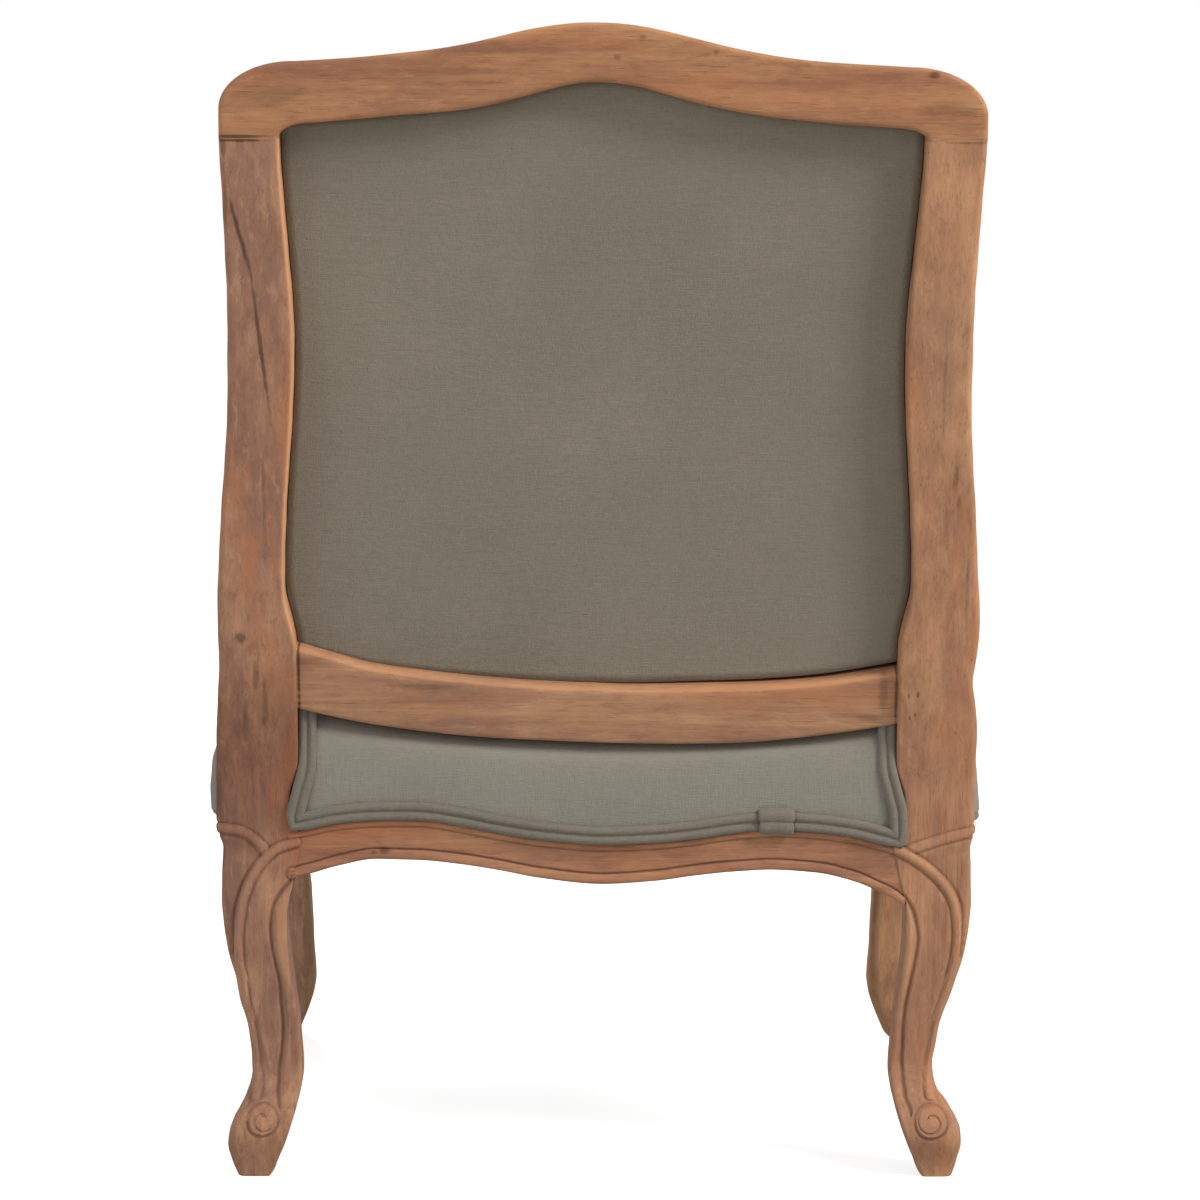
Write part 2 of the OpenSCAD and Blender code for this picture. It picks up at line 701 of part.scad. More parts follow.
// Double piping: two beads on a flat back, as distance across and height above the back
function piping_section(r, room = 0) = concat([[-2 * r - room, -room], [2 * r + room, -room]],
  [for (side = [1, -1], t = [20, 66, 114, 160]) let (x = side * r + (r + room) * cos(t))
    if (room == 0 || abs(x) > room) [x, 0.7 * r + (r + room) * sin(t)]]);
// Rings of a strip along points p with outward directions n
function strip_rings(p, n, section, joined = false) = [
  for (i = [0:len(p) - 1])
    let (m = len(p), a = p[joined ? (i + m - 1) % m : max(0, i - 1)],
      b = p[joined ? (i + 1) % m : min(m - 1, i + 1)],
      along = unit(unit(b - p[i]) + unit(p[i] - a)), across = unit(cross(n[i], along)),
      up = cross(along, across))
    [for (s = section) p[i] + across * s[0] + up * s[1]]
];

// A length of the rear piping runs down a post and along the rail to the wrapped join
function rear_piping_points(end) =
  let (x = open_seat - gap - 2 * bead, low = band_at(x, -1) + gap + 2 * bead, r = 2 * bead + 6,
    up = [for (z = steps(bend_z + low_bottom(open_seat) * cos(rake) - 8, low + r, 6)) [x, z]],
    turn = [for (t = [15:15:75]) [x - r + r * cos(t), low + r - r * sin(t)]])
  concat(up, turn, [for (s = steps(x - r, end, ceil((x - end) / 18))) [s, band_at(s, -1) + gap + 2 * bead]]);
function on_rear(p) = [for (q = p) [q[0], rear_face(q[1]) + gap, q[1]]];

module rear_piping(end) {
  p = on_rear(rear_piping_points(end));
  loft(strip_rings(p, [for (q = p) [0, 1, 0]], piping_section(bead)));
}

module seat_piping_rear_left() {
  color(cord) placed() rear_piping(gap - wrap_x);
}

module seat_piping_rear_right() {
  color(cord) placed() mirror([1, 0, 0]) rear_piping(gap + wrap_x);
}

// A strip along the rear edge of the seat, from half to each side of the wrapped join
module along_rear(half, n, section) {
  p = on_rear([for (s = steps(-wrap_x - half, -wrap_x + half, n)) [s, band_at(s, -1) + gap + 2 * bead]]);
  loft(strip_rings(p, [for (q = p) [0, 1, 0]], section));
}

// The wrap lies over the rear piping where its two ends meet
module piping_join_wrap() {
  cloth = 1.4;
  cut = 0.35;
  wide = 2 * bead + cut;
  top = 1.7 * bead + cloth;
  shell = [[-wide, cut], [wide, cut], [2 * bead + cloth, 0.9 * bead], [1.4 * bead, top], [-1.4 * bead, top],
    [-2 * bead - cloth, 0.9 * bead]];
  color(cord) placed() difference() {
    along_rear(wrap_w / 2, 6, shell);
    along_rear(wrap_w, 12, piping_section(bead, cut));
  }
}

// The front piping runs from post to post round the sides and the front
module seat_piping_front() {
  half = side_places(8, [15:15:90], 1 - 2 * (block + 4 * gap) / seat_depth);
  ab = concat([for (i = [len(half) - 1:-1:1]) [-half[i][0], half[i][1]]], half);
  p = [for (u = ab) let (q = seat_xy(u[0], u[1], 2 * gap)) [q[0], q[1], band_at(q[0], q[1]) + gap + 2 * bead]];
  last = len(p) - 1;
  normals = [for (i = [0:last])
    let (a = p[max(0, i - 1)], b = p[min(last, i + 1)]) [b[1] - a[1], a[0] - b[0], 0]];
  color(cord) placed() loft(strip_rings(p, normals, piping_section(bead)));
}

// Plan of the opening in the back: a and b from -1 to 1 across and upward, drawn in by inset
function back_xv(a, b, inset) =
  let (x = a * open_waist, v = mix(low_top(x) + inset, crest_in(x) - inset, (b + 1) / 2))
  [a * (open_half(v) - inset), v];
back_loop = unit_loop(crest_fillet / open_waist, 2 * crest_fillet / (joint_v - low_rail_top), 7);
// Loop points run so that the rings are stacked toward the sitter
function back_ring(s, inset, d) = [
  for (u = back_loop) let (p = back_xv(u[0] * s, u[1] * s, inset)) [p[0], -d, p[1]]
];

module back_webbing_upright() {
  pitch = open_waist * 2 / 4;
  color(jute) placed()
    for (i = [-1:1])
      plate(post_d, strap_t) polygon(concat(
        [for (u = steps(i * pitch - strap_w / 2, i * pitch + strap_w / 2, 6)) [u, low_top(u) - pad_lap / 2]],
        [for (u = steps(i * pitch + strap_w / 2, i * pitch - strap_w / 2, 6)) [u, crest_in(u) + pad_lap / 2]]));
}

module back_webbing_level() {
  first = low_rail_top + low_rail_sag + strap_w;
  last = shoulder_v - shoulder_band - strap_w;
  color(jute) placed()
    for (v = steps(first, last, 3)) {
      half = min(open_half(v - strap_w / 2), open_half(v + strap_w / 2)) + pad_lap / 2;
      plate(post_d + strap_t, strap_t) translate([-half, v - strap_w / 2]) square([2 * half, strap_w]);
    }
}

module back_burlap() {
  color(jute) placed() plate(post_d + 2 * strap_t, burlap_t)
    polygon([for (u = back_loop) back_xv(u[0], u[1], -pad_lap / 2)]);
}

// Rings of the inner back: up its edge, round the roll and in to the middle of the crown
pad_out = -pad_lap - 1;
pad_face = post_d + gap + pad_edge - 5;
function pad_rings(first_d, skin) = concat(
  [back_ring(1, skin - pad_lap, first_d), back_ring(1, skin + pad_out, post_d + pad_edge * 0.6)],
  [for (t = [25, 50, last_roll])
    back_ring(1, skin + pad_out + pad_roll * (1 - cos(t)), pad_face + (pad_roll - 4 - skin) * sin(t))],
  [for (s = dome)
    back_ring(s, skin - pad_lap + pad_roll - 5, pad_face + 13 - skin + (pad_crown - 8) * (1 - s * s))]);

module back_foam() {
  color(foam) placed() on_back() loft(pad_rings(pad_base, cover_t + gap));
}

module inner_back_cover() {
  color(linen) placed() on_back() skin_of(pad_rings(post_d + gap, cover_t), pad_rings(post_d + gap, 0));
}

module inner_back_piping() {
  fine = [for (i = [0:len(back_loop) - 1])
    each [back_loop[i], mix(back_loop[i], back_loop[(i + 1) % len(back_loop)], 0.5)]];
  p = [for (u = fine) let (q = back_xv(u[0], u[1], -pad_lap - 1 - gap - 2 * bead)) [q[0], -post_d - gap, q[1]]];
  color(cord) placed() on_back()
    loft(strip_rings(p, [for (q = p) [0, -1, 0]], piping_section(bead), joined = true), joined = true);
}

// Strips inside the back frame on which the outer back panel is tacked
module outer_back_tack_strips() {
  vs = steps(ear_v + strip, joint_v - strip, 16);
  top = steps(crest_fillet - open_top, open_top - crest_fillet, 20);
  low = steps(crest_fillet - open_seat, open_seat - crest_fillet, 16);
  color(wood) placed() plate(panel_in + cover_t, min(strip, post_d - panel_in - cover_t)) {
    for (side = [-1, 1])
      polygon(concat([for (v = vs) [side * (open_half(v) - 2 * gap), v]],
        [for (i = [len(vs) - 1:-1:0]) [side * (open_half(vs[i]) - strip), vs[i]]]));
    polygon(concat([for (x = top) [x, crest_in(x) - gap]], [for (x = top) [-x, crest_in(x) - strip]]));
    polygon(concat([for (x = low) [x, low_top(x) + gap]], [for (x = low) [-x, low_top(x) + strip]]));
  }
}

module outer_back_panel() {
  color(linen) placed() plate(panel_in, cover_t) polygon([for (u = back_loop) back_xv(u[0], u[1], 2 * gap)]);
}

module dust_cover() {
  front = block + gap - seat_depth;
  rear = -block - gap;
  half = [[front_open - gap, gap + rear_in - seat_depth], [front_open - gap, front],
    [side_in(front) - gap, front], [side_in(rear) - gap, rear], [open_seat - gap, rear],
    [open_seat - gap, -rear_in - gap]];
  color(cambric) placed() translate([0, 0, block_foot - burlap_t]) linear_extrude(burlap_t)
    polygon(concat(half, [for (i = [len(half) - 1:-1:0]) [-half[i][0], half[i][1]]]));
}

left_back_post();
right_back_post();
crest_rail();
lower_back_rail();
rear_seat_rail();
front_seat_rail();
left_side_rail();
right_side_rail();
front_left_leg();
front_right_leg();
rear_left_corner_block();
rear_right_corner_block();
front_left_corner_block();
front_right_corner_block();
corner_block_screws();
crest_dowels();
lower_back_rail_dowels();
seat_rail_dowels();
seat_webbing_lengthwise();
seat_webbing_crosswise();
seat_burlap();
seat_foam();
seat_cover();
seat_piping_rear_left();
seat_piping_rear_right();
seat_piping_front();
piping_join_wrap();
back_webbing_upright();
back_webbing_level();
back_burlap();
back_foam();
inner_back_cover();
inner_back_piping();
outer_back_tack_strips();
outer_back_panel();
dust_cover();
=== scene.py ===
"""Dresses the show-wood chair: carved wood, linen cushions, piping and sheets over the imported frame."""
import math

import bpy
import numpy as np
from mathutils import Euler, Matrix, Vector


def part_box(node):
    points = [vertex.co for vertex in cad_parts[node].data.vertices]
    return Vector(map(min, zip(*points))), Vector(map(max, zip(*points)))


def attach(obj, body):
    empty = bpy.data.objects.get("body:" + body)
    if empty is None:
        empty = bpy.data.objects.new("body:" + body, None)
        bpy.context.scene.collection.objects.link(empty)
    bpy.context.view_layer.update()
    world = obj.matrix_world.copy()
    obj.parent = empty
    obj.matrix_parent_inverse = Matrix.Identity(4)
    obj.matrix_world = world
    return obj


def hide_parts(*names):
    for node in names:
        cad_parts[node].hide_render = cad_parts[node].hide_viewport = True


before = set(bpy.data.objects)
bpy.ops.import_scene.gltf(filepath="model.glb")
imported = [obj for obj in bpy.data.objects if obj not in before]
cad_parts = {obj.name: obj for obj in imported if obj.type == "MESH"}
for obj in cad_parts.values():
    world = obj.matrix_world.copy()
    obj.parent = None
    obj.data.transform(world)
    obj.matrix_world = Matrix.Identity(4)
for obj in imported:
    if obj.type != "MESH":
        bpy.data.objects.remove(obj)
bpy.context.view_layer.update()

# Sizes in millimetres, named as in the part's source
seat_depth, rear_half, front_half, side_rail_half = 568, 332, 356, 340
block, shoulder_z, block_h, rail_th, rail_rise, rebate, front_bow = 70, 309, 47, 28, 26, 2, 10
band, band_lift, band_peak, band_drop, side_drop = 35, 2, 0.6, 17, 9
foot_w, toe_w, ankle_w, knee_w, foot_in, toe_in, ankle_in, knee_in = 32, 52, 40, 56, 15, 7, 30, 2
toe_z, ankle_z, knee_z, toe_kick, ankle_tuck = 38, 100, 230, 20, 10
rake, bend_rise, bend_len, back_len, post_d = math.radians(12), 41, 30, 664, 38
open_belly, open_waist, open_top, waist_v, top_half = 271, 259, 268, 392, 318
crest_rise, crest_spread, crest_band, shoulder_band = 33, 108, 50, 55
corner_w, crest_leg, crest_fillet, crest_bevel, open_belly_rise = 64, 64, 18, 10, 58
block_fade, low_rail_v, low_rail_h, low_rail_in, low_rail_sag = 45, 35, 58, 6, 26
seat_bulge, seat_edge, seat_crown, seat_corner, seat_roll = 8, 96, 24, 24, 34
bead_r, pad_lap, pad_edge, pad_crown, panel_in, wrap_w, wrap_x = 4, 9, 14, 26, 25, 31, 157
gap, face_in, pad_roll, side_rise = 0.3, 2, 16, 40

# Heights, widths and places that follow from them
bend_z, rail_top = shoulder_z + bend_rise, shoulder_z + rail_rise
block_z, band_top = shoulder_z - block_h, shoulder_z + band_lift
open_seat, front_open = rear_half - block, front_half - block
shoulder_v = back_len - crest_rise
joint_v = shoulder_v - crest_leg
low_rail_top = low_rail_v + low_rail_h
ear_v = low_rail_top + low_rail_sag
side_mid, side_len = -seat_depth / 2, seat_depth / 2 - block
inner_spread = crest_spread * 0.86
SHIFT = ((seat_depth - face_in + front_bow + seat_bulge) - (back_len - 5) * math.sin(rake)) / 2

# What only the picture model has
SIDE = {1: "left", -1: "right"}
MM = 0.001
seat_rows, pad_rings, dome_tip, settle_frames = 64, 48, 0.04, 20
side_end, corner_x, run_x = 86, 264.5, 257
panel_thick, dust_thick = 1.2 * MM, 0.6 * MM


# Shared forms
def smooth(f):
    return f * f * (3 - 2 * f)


def cut(f):
    return np.clip(f, 0, 1)


def rise(f):
    """Smooth step from 0 to 1."""
    return smooth(cut(f))


def ease(stations, t):
    """Value between stations of (place, value), level at each station."""
    s, t = np.array(stations, float), np.asarray(t, float)
    i = np.clip(np.searchsorted(s[:, 0], t, side="right") - 1, 0, len(s) - 2)
    f = cut((t - s[i, 0]) / (s[i + 1, 0] - s[i, 0]))
    return s[i, 1] + (s[i + 1, 1] - s[i, 1]) * smooth(f)


def curve(y, d, i, f, h=1.0):
    """Values at fraction f of span i, on a line through y that doesn't swing past it. d has each span's slope."""
    m = np.concatenate([d[:1], np.zeros_like(d[1:]), d[-1:]])
    same = d[:-1] * d[1:] > 0
    m[1:-1][same] = 2 * d[:-1][same] * d[1:][same] / (d[:-1] + d[1:])[same]
    return ((2 * f ** 3 - 3 * f ** 2 + 1) * y[i] + (f ** 3 - 2 * f ** 2 + f) * h * m[i]
            + (3 * f ** 2 - 2 * f ** 3) * y[i + 1] + (f ** 3 - f ** 2) * h * m[i + 1])


def through(stations, t):
    """Smooth line through stations of (place, value)."""
    x, y = np.array(stations, float).T
    t = np.clip(np.asarray(t, float), x[0], x[-1])
    h = np.diff(x)
    i = np.clip(np.searchsorted(x, t, side="right") - 1, 0, len(h) - 1)
    return curve(y, np.diff(y) / h, i, (t - x[i]) / h[i], h[i])


def path(points, n):
    """n points along a smooth line through the given ones."""
    p = np.array(points, float)
    s = np.concatenate([[0], np.cumsum(np.linalg.norm(np.diff(p, axis=0), axis=1))])
    t = np.linspace(0, s[-1], n)
    return np.stack([through(np.stack([s, p[:, k]], 1), t) for k in range(p.shape[1])], 1)


def spread(rings, n):
    """Rings set more closely, on smooth lines through the given ones."""
    t = np.linspace(0, len(rings) - 1, n)
    i = np.minimum(t.astype(int), len(rings) - 2)
    return curve(rings, np.diff(rings, axis=0), i, (t - i)[:, None, None])


def from_line(u, z, line):
    """Distance of the points (u, z) from a line."""
    best = np.full(np.shape(u), 1e9)
    for a, b in zip(line[:-1], line[1:]):
        ab = b - a
        t = cut(((u - a[0]) * ab[0] + (z - a[1]) * ab[1]) / (ab @ ab))
        best = np.minimum(best, np.hypot(u - a[0] - t * ab[0], z - a[1] - t * ab[1]))
    return best


def round_bead(d, half, high):
    """Height of a half-round bead at distance d from its line."""
    return high * np.sqrt(cut(1 - (d / half) ** 2))


def dip(d, half, deep):
    """Depth of a soft groove at distance d from its line."""
    return -deep * rise(1 - d / half)


def rounded(x0, x1, y0, y1, r, counts, nc):
    """Rings of round rectangles, anticlockwise from the corner at x1, y1, and the points' outward directions.
    r is one radius, or one for each of the four corners in that order."""
    radii = r if isinstance(r, (list, tuple)) else [r] * 4
    x0, x1, y0, y1, *radii = [np.atleast_1d(np.asarray(v, float))[:, None]
                              for v in np.broadcast_arrays(x0, x1, y0, y1, *radii)]
    xs, ys, dirs = [], [], []
    for q, (sx, sy) in enumerate(((1, 1), (-1, 1), (-1, -1), (1, -1))):
        t = np.radians(90 * q + np.linspace(0, 90, nc + 1))
        r, s = radii[q], radii[(q + 1) % 4]
        cx = x1 - r if sx > 0 else x0 + r
        cy = y1 - r if sy > 0 else y0 + r
        xs.append(cx + r * np.cos(t))
        ys.append(cy + r * np.sin(t))
        dirs.append(np.stack([np.cos(t), np.sin(t)], 1))
        f = np.linspace(0, 1, counts[q] + 2)[1:-1]
        ends = [(x1 - r, y1, x0 + s, y1), (x0, y1 - r, x0, y0 + s),
                (x0 + r, y0, x1 - s, y0), (x1, y0 + r, x1, y1 - s)][q]
        xs.append(ends[0] + (ends[2] - ends[0]) * f)
        ys.append(ends[1] + (ends[3] - ends[1]) * f)
        dirs.append(np.tile([(0, 1), (-1, 0), (0, -1), (1, 0)][q], (len(f), 1)))
    return np.concatenate(xs, 1), np.concatenate(ys, 1), np.concatenate(dirs)


def build(name, rings, flip=False, joined=False, closed=True, relief=None, wear_and_highlight=None, sharp=38):
    """Object from rings of points in drawing millimetres."""
    r = np.asarray(rings, float)
    m, n = r.shape[:2]
    verts = r.reshape(-1, 3) * MM
    verts[:, 1] += SHIFT * MM
    i, j = np.meshgrid(np.arange(m if joined else m - 1), np.arange(n if closed else n - 1), indexing="ij")
    a, b = i * n + j, i * n + (j + 1) % n
    c, d = (i + 1) % m * n + (j + 1) % n, (i + 1) % m * n + j
    quads = np.stack([a, b, c, d], -1).reshape(-1, 4)
    faces = quads[:, ::-1].tolist() if flip else quads.tolist()
    if closed and not joined:
        ends = [list(range(n))[::-1], list(range((m - 1) * n, m * n))]
        faces += [e[::-1] for e in ends] if flip else ends
    mesh = bpy.data.meshes.new(name)
    mesh.from_pydata(verts.tolist(), [], faces)
    mesh.polygons.foreach_set("use_smooth", [True] * len(mesh.polygons))
    mesh.set_sharp_from_angle(angle=math.radians(sharp))
    for word, values in (("relief", relief), ("wear_and_highlight", wear_and_highlight)):
        layer = mesh.attributes.new(word, "FLOAT", "POINT")
        if values is not None:
            layer.data.foreach_set("value", np.broadcast_to(values, (m, n)).astype(np.float32).ravel())
    mesh.update()
    piece = bpy.data.objects.new(mesh.name, mesh)
    bpy.context.scene.collection.objects.link(piece)
    return piece


def dress(piece, slot, *nodes, material=None):
    piece.data.materials.append(material or CLOTH[slot])
    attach(piece, "root")
    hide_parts(*nodes)


# Materials
def lin(r, g, b, k=1.0):
    return tuple(min(1, k * ((c / 255 + 0.055) / 1.055) ** 2.4) for c in (r, g, b)) + (1.0,)


def start(shaded):
    """Clears the nodes of a material or a world. The nodes made from then on are its own."""
    global tree
    shaded.use_nodes = True
    tree = shaded.node_tree
    tree.nodes.clear()
    return shaded


def node(kind, inputs=None, **settings):
    made = tree.nodes.new("ShaderNode" + kind)
    for key, value in settings.items():
        setattr(made, key, value)
    for key, value in (inputs or {}).items():
        if isinstance(value, bpy.types.NodeSocket):
            tree.links.new(value, made.inputs[key])
        else:
            made.inputs[key].default_value = value
    return made


def calc(op, a, b):
    return node("Math", {0: a, 1: b}, operation=op).outputs[0]


def vec(op, a, b):
    return node("VectorMath", {0: a, 1: b}, operation=op).outputs[0]


def noise(where, detail=3.0, rough=0.55, twist=0.0):
    return node("TexNoise", {"Vector": where, "Scale": 1.0, "Detail": detail, "Roughness": rough,
                             "Distortion": twist}).outputs["Fac"]


def spanned(value, lo, hi, a=0.0, b=1.0):
    return node("MapRange", {0: value, 1: lo, 2: hi, 3: a, 4: b}, interpolation_type="SMOOTHSTEP").outputs[0]


def tinted(amount, a, b, mode="MIX"):
    return node("Mix", {0: amount, 6: a, 7: b}, data_type="RGBA", blend_type=mode).outputs[2]


def total(*terms):
    """Sum of values, each times its share."""
    terms = [calc("MULTIPLY", value, share) for value, share in terms]
    whole = terms[0]
    for term in terms[1:]:
        whole = calc("ADD", whole, term)
    return whole


def ramp(value, stops):
    made = node("ValToRGB", {0: value})
    items = made.color_ramp.elements
    items[0].position, items[0].color = stops[0]
    items[1].position, items[1].color = stops[-1]
    for place, colour in stops[1:-1]:
        items.new(place).color = colour
    return made.outputs[0]


def finish_material(colour, rough, height, distance, **constants):
    bump = node("Bump", {"Height": height, "Strength": 1.0, "Distance": distance})
    shader = node("BsdfPrincipled", {"Base Color": colour, "Roughness": rough, "Normal": bump.outputs[0],
                                     **constants})
    node("OutputMaterial", {"Surface": shader.outputs[0]})


def wood(name, tone, along, seed, marks=(), patina=0.55, legs=0.0, bare=False):
    """Waxed, worn wood with its grain along one axis. Marks: x, z, half width, half height, strength, slant."""
    mat = start(bpy.data.materials.new(name))
    flat = node("TexCoord").outputs["Object"]
    where = vec("ADD", flat, (seed * 0.371, seed * 0.613, seed * 0.237))

    def stretched(across, down):
        return vec("MULTIPLY", where, tuple(down if k == along else across for k in range(3)))

    def shade(*shares):
        return lin(*[c * share for c, share in zip(tone, shares)])

    fine = noise(stretched(310, 9), 5, 0.68)
    broad = noise(stretched(46, 2.6), 4, 0.6, 0.5)
    patch = noise(stretched(13, 7), 3, 0.6)
    mottle = noise(stretched(120, 34), 5, 0.72, 0.3)
    grey = spanned(noise(stretched(15, 3.2), 4, 0.62, 0.4), 0.47, 0.66)
    warm = vec("ADD", stretched(19, 4.4), (3.1, 7.7, 5.2))
    warm = spanned(noise(warm, 4, 0.6, 0.5), 0.5, 0.7)
    holes = spanned(noise(stretched(1150, 45), 2, 0.5), 0.6, 0.78, 0.0, 0.4)
    colour = ramp(total((fine, 0.26), (broad, 0.42), (patch, 0.32)),
                  [(0.34, shade(0.8, 0.76, 0.78)), (0.45, shade(0.95, 0.93, 0.92)),
                   (0.54, shade(1.03, 1.03, 1.0)), (0.64, shade(1.13, 1.15, 1.12))])
    layers = [(calc("MULTIPLY", grey, 0.12 if bare else patina), (0.83, 0.83, 0.9)),
              (spanned(mottle, 0.5, 0.68, 0.0, 0.5 * (0.4 + patina)), (0.8, 0.75, 0.78)),
              (spanned(mottle, 0.48, 0.34, 0.0, 0.45 * (0.4 + patina)), (1.13, 1.14, 1.14)),
              (calc("MULTIPLY", warm, 0.1 if bare else patina), (1.07, 0.94, 0.84)),
              (holes, (0.5, 0.47, 0.48))]
    if not bare:
        # Painted shade darkens the hollows of the carving and mouldings, and painted highlight lightens their
        # ridges; the narrow grooves also hold some grime.
        depth = node("Attribute", attribute_name="relief").outputs["Fac"]
        layers += [(spanned(depth, 0.0, -1.8, 0.0, 0.62), (0.56, 0.52, 0.56)),
                   (spanned(depth, 0.5, 2.2, 0.0, 0.3), (1.12, 1.13, 1.1))]
    for amount, shares in layers:
        colour = tinted(amount, colour, shade(*shares))
    if not bare:
        # Pale orange on edges: painted highlight where edges face the key light, with some rubbed wear on the rear
        # legs' inner strips.
        edge = node("Attribute", attribute_name="wear_and_highlight").outputs["Fac"]
        edge = calc("MULTIPLY", edge, spanned(broad, 0.3, 0.6, 0.75, 1.0))
        colour = tinted(edge, colour, lin(208, 155, 113))
        # Darker between about 0.26 m and 0.5 m up, most from 0.33 m to 0.37 m and a little below; how much is set
        # by legs.
        up = node("SeparateXYZ", {0: flat}).outputs["Z"]
        darkened_low = calc("MULTIPLY", spanned(up, 0.5, 0.37, 0.0, legs), spanned(up, 0.26, 0.33, 0.15, 1.0))
        colour = tinted(darkened_low, colour, (0.55, 0.49, 0.5, 1), "MULTIPLY")
    for x, z, wide, tall, strength, *slant in marks:
        off = vec("SUBTRACT", flat, (x * MM, 0, z * MM))
        off = [node("VectorMath", {0: off, 1: line}, operation="DOT_PRODUCT").outputs["Value"]
               for line in ((1000 / wide, 0, -sum(slant) * 1000 / wide), (0, 0, 1000 / tall))]
        off = node("CombineXYZ", {0: off[0], 1: off[1]}).outputs[0]
        away = node("VectorMath", {0: off}, operation="LENGTH").outputs["Value"]
        away = calc("ADD", away, calc("MULTIPLY", calc("SUBTRACT", fine, 0.5), 1.6))
        colour = tinted(spanned(away, 1.15, 0.35, 0.0, strength), colour, shade(0.42, 0.42, 0.42))
    rough = spanned(broad, 0.3, 0.7, 0.58, 0.74)
    height = calc("SUBTRACT", calc("MULTIPLY", fine, 0.6), holes)
    finish_material(colour, rough, height, 0.0006, **{"Specular IOR Level": 0.08})
    return mat


def linen(name, tone, seed=0.0, pitch=1.0, contrast=1.0):
    """Plain woven cloth: threads along the surface's two axes, slubs and slow shading."""
    mat = start(bpy.data.materials.new(name))
    where = vec("ADD", node("TexCoord").outputs["Object"], (seed, seed * 0.7, seed * 1.3))
    normal = node("NewGeometry").outputs["Normal"]
    flat = node("SeparateXYZ", {0: vec("SUBTRACT", (1, 1, 1), vec("MULTIPLY", normal, normal))})

    def yarn(along, thick, detail, rough):
        """Lines along each axis, the stronger the more the surface lies along it."""
        lines = []
        for k in range(3):
            size = tuple(along / pitch if k == a else thick / pitch for a in range(3))
            lines.append((noise(vec("MULTIPLY", where, size), detail, rough), flat.outputs[k]))
        return total(*lines)

    threads, slubs = yarn(110, 1500, 2, 0.5), yarn(24, 560, 3, 0.6)
    cloudy = noise(vec("MULTIPLY", where, (5, 5, 5)), 3, 0.6)
    colour = ramp(total((threads, 0.26), (slubs, 0.12), (cloudy, 0.24)),
                  [(place, lin(*tone, 1 + share * contrast))
                   for place, share in ((0.36, -0.3), (0.47, -0.07), (0.54, 0.07), (0.66, 0.3))])
    finish_material(colour, spanned(slubs, 0.7, 1.3, 0.95, 0.82), threads, 0.0005 * pitch,
                    **{"Specular IOR Level": 0.2, "Sheen Weight": 0.12, "Sheen Roughness": 0.5})
    return mat


# The front legs are one wood; left_leg and right_leg differ as painted light, for how each leg's visible face is
# lit.
TONES = {"left_post": (165, 124, 99), "right_post": (171, 128, 99), "crest": (171, 124, 92),
         "low_rail": (168, 127, 99), "apron": (164, 119, 92), "left_leg": (190, 150, 119),
         "right_leg": (168, 127, 97)}
post_marks = {1: [(312, 905, 3, 26, 0.5), (300, 824, 2.4, 36, 0.75, 0.26), (286, 738, 2, 62, 0.7, 0.11),
                  (312, 850, 3, 22, 0.4), (309, 480, 7, 6, 0.6), (297, 446, 4, 13, 0.5), (306, 400, 5, 24, 0.35),
                  (289, 420, 3, 30, 0.35), (300, 903.5, 26, 1.6, 0.8), (322, 640, 3, 50, 0.35),
                  (286, 600, 2, 44, 0.3), (330, 340, 4, 30, 0.3)],
              -1: [(-270.5, 429, 1.3, 3.2, 0.6), (-278.5, 430.5, 1.3, 3.2, 0.65), (-272, 409, 1.3, 3.2, 0.65),
                   (-276.5, 412, 1.2, 3, 0.6), (-304, 622, 3, 14, 0.5), (-308, 600, 3, 9, 0.45),
                   (-306, 903.5, 26, 1.2, 0.4), (-330, 432, 3, 12, 0.5), (-292, 700, 2, 60, 0.25),
                   (-318, 520, 2, 40, 0.25)]}
crest_marks = [(-274, 958, 5, 4, 0.6), (-34, 988, 4, 3, 0.4), (-13, 972, 4, 3, 0.4), (-94, 976, 3, 3, 0.4),
               (-286, 930, 26, 10, 0.3), (300, 906.5, 26, 1.8, 0.8), (270, 940, 34, 9, 0.25),
               (120, 960, 60, 4, 0.2)]
rail_marks = [(187, 290, 6, 4, 0.6), (196, 288, 3, 2, 0.5)]
low_marks = [(260, 452, 1.6, 60, 0.8), (-260, 440, 1.6, 60, 0.7), (-249, 432, 5, 22, 0.4), (-238, 408, 16, 3, 0.4),
             (150, 436, 30, 3, 0.25)]

# The seat and the back are covered in one linen: the seat's lighter tone is partly painted light on its upturned
# panel and partly a real difference in hue.
CLOTH = {"back_linen": linen("back_linen", (130, 122, 108), 3.0, 1.0, 0.7),
         "seat_linen": linen("seat_linen", (136, 132, 121), 8.0, 1.0, 0.5),
         "piping_linen": linen("piping_linen", (117, 111, 100), 5.0, 0.8),
         "cambric": linen("black_cambric", (38, 38, 41), 19.0, 1.2, 0.8)}
back_wood = {side: wood("post_wood_" + tag, TONES[tag + "_post"], 2, 1.7 + side, post_marks[side], patina, darkened_low)
             for side, tag, patina, darkened_low in ((1, "left", 0.8, 0.75), (-1, "right", 0.45, 0.1))}
leg_wood = {side: wood("front_leg_wood_" + tag, TONES[tag + "_leg"], 2, 21.3 + side) for side, tag in SIDE.items()}
crest_wood = wood("crest_wood", TONES["crest"], 0, 4.1, crest_marks)
low_wood = wood("lower_rail_wood", TONES["low_rail"], 0, 6.3, low_marks)
apron_wood = wood("rear_apron_wood", TONES["apron"], 0, 9.2, rail_marks)
front_apron_wood = wood("front_apron_wood", TONES["apron"], 0, 12.9)
side_wood = wood("side_apron_wood", TONES["apron"], 1, 15.4)
inner_wood = wood("bare_beech", (190, 160, 124), 0, 31.0, bare=True)
strip_wood = wood("tack_strip_wood", (178, 148, 112), 2, 35.0, bare=True)


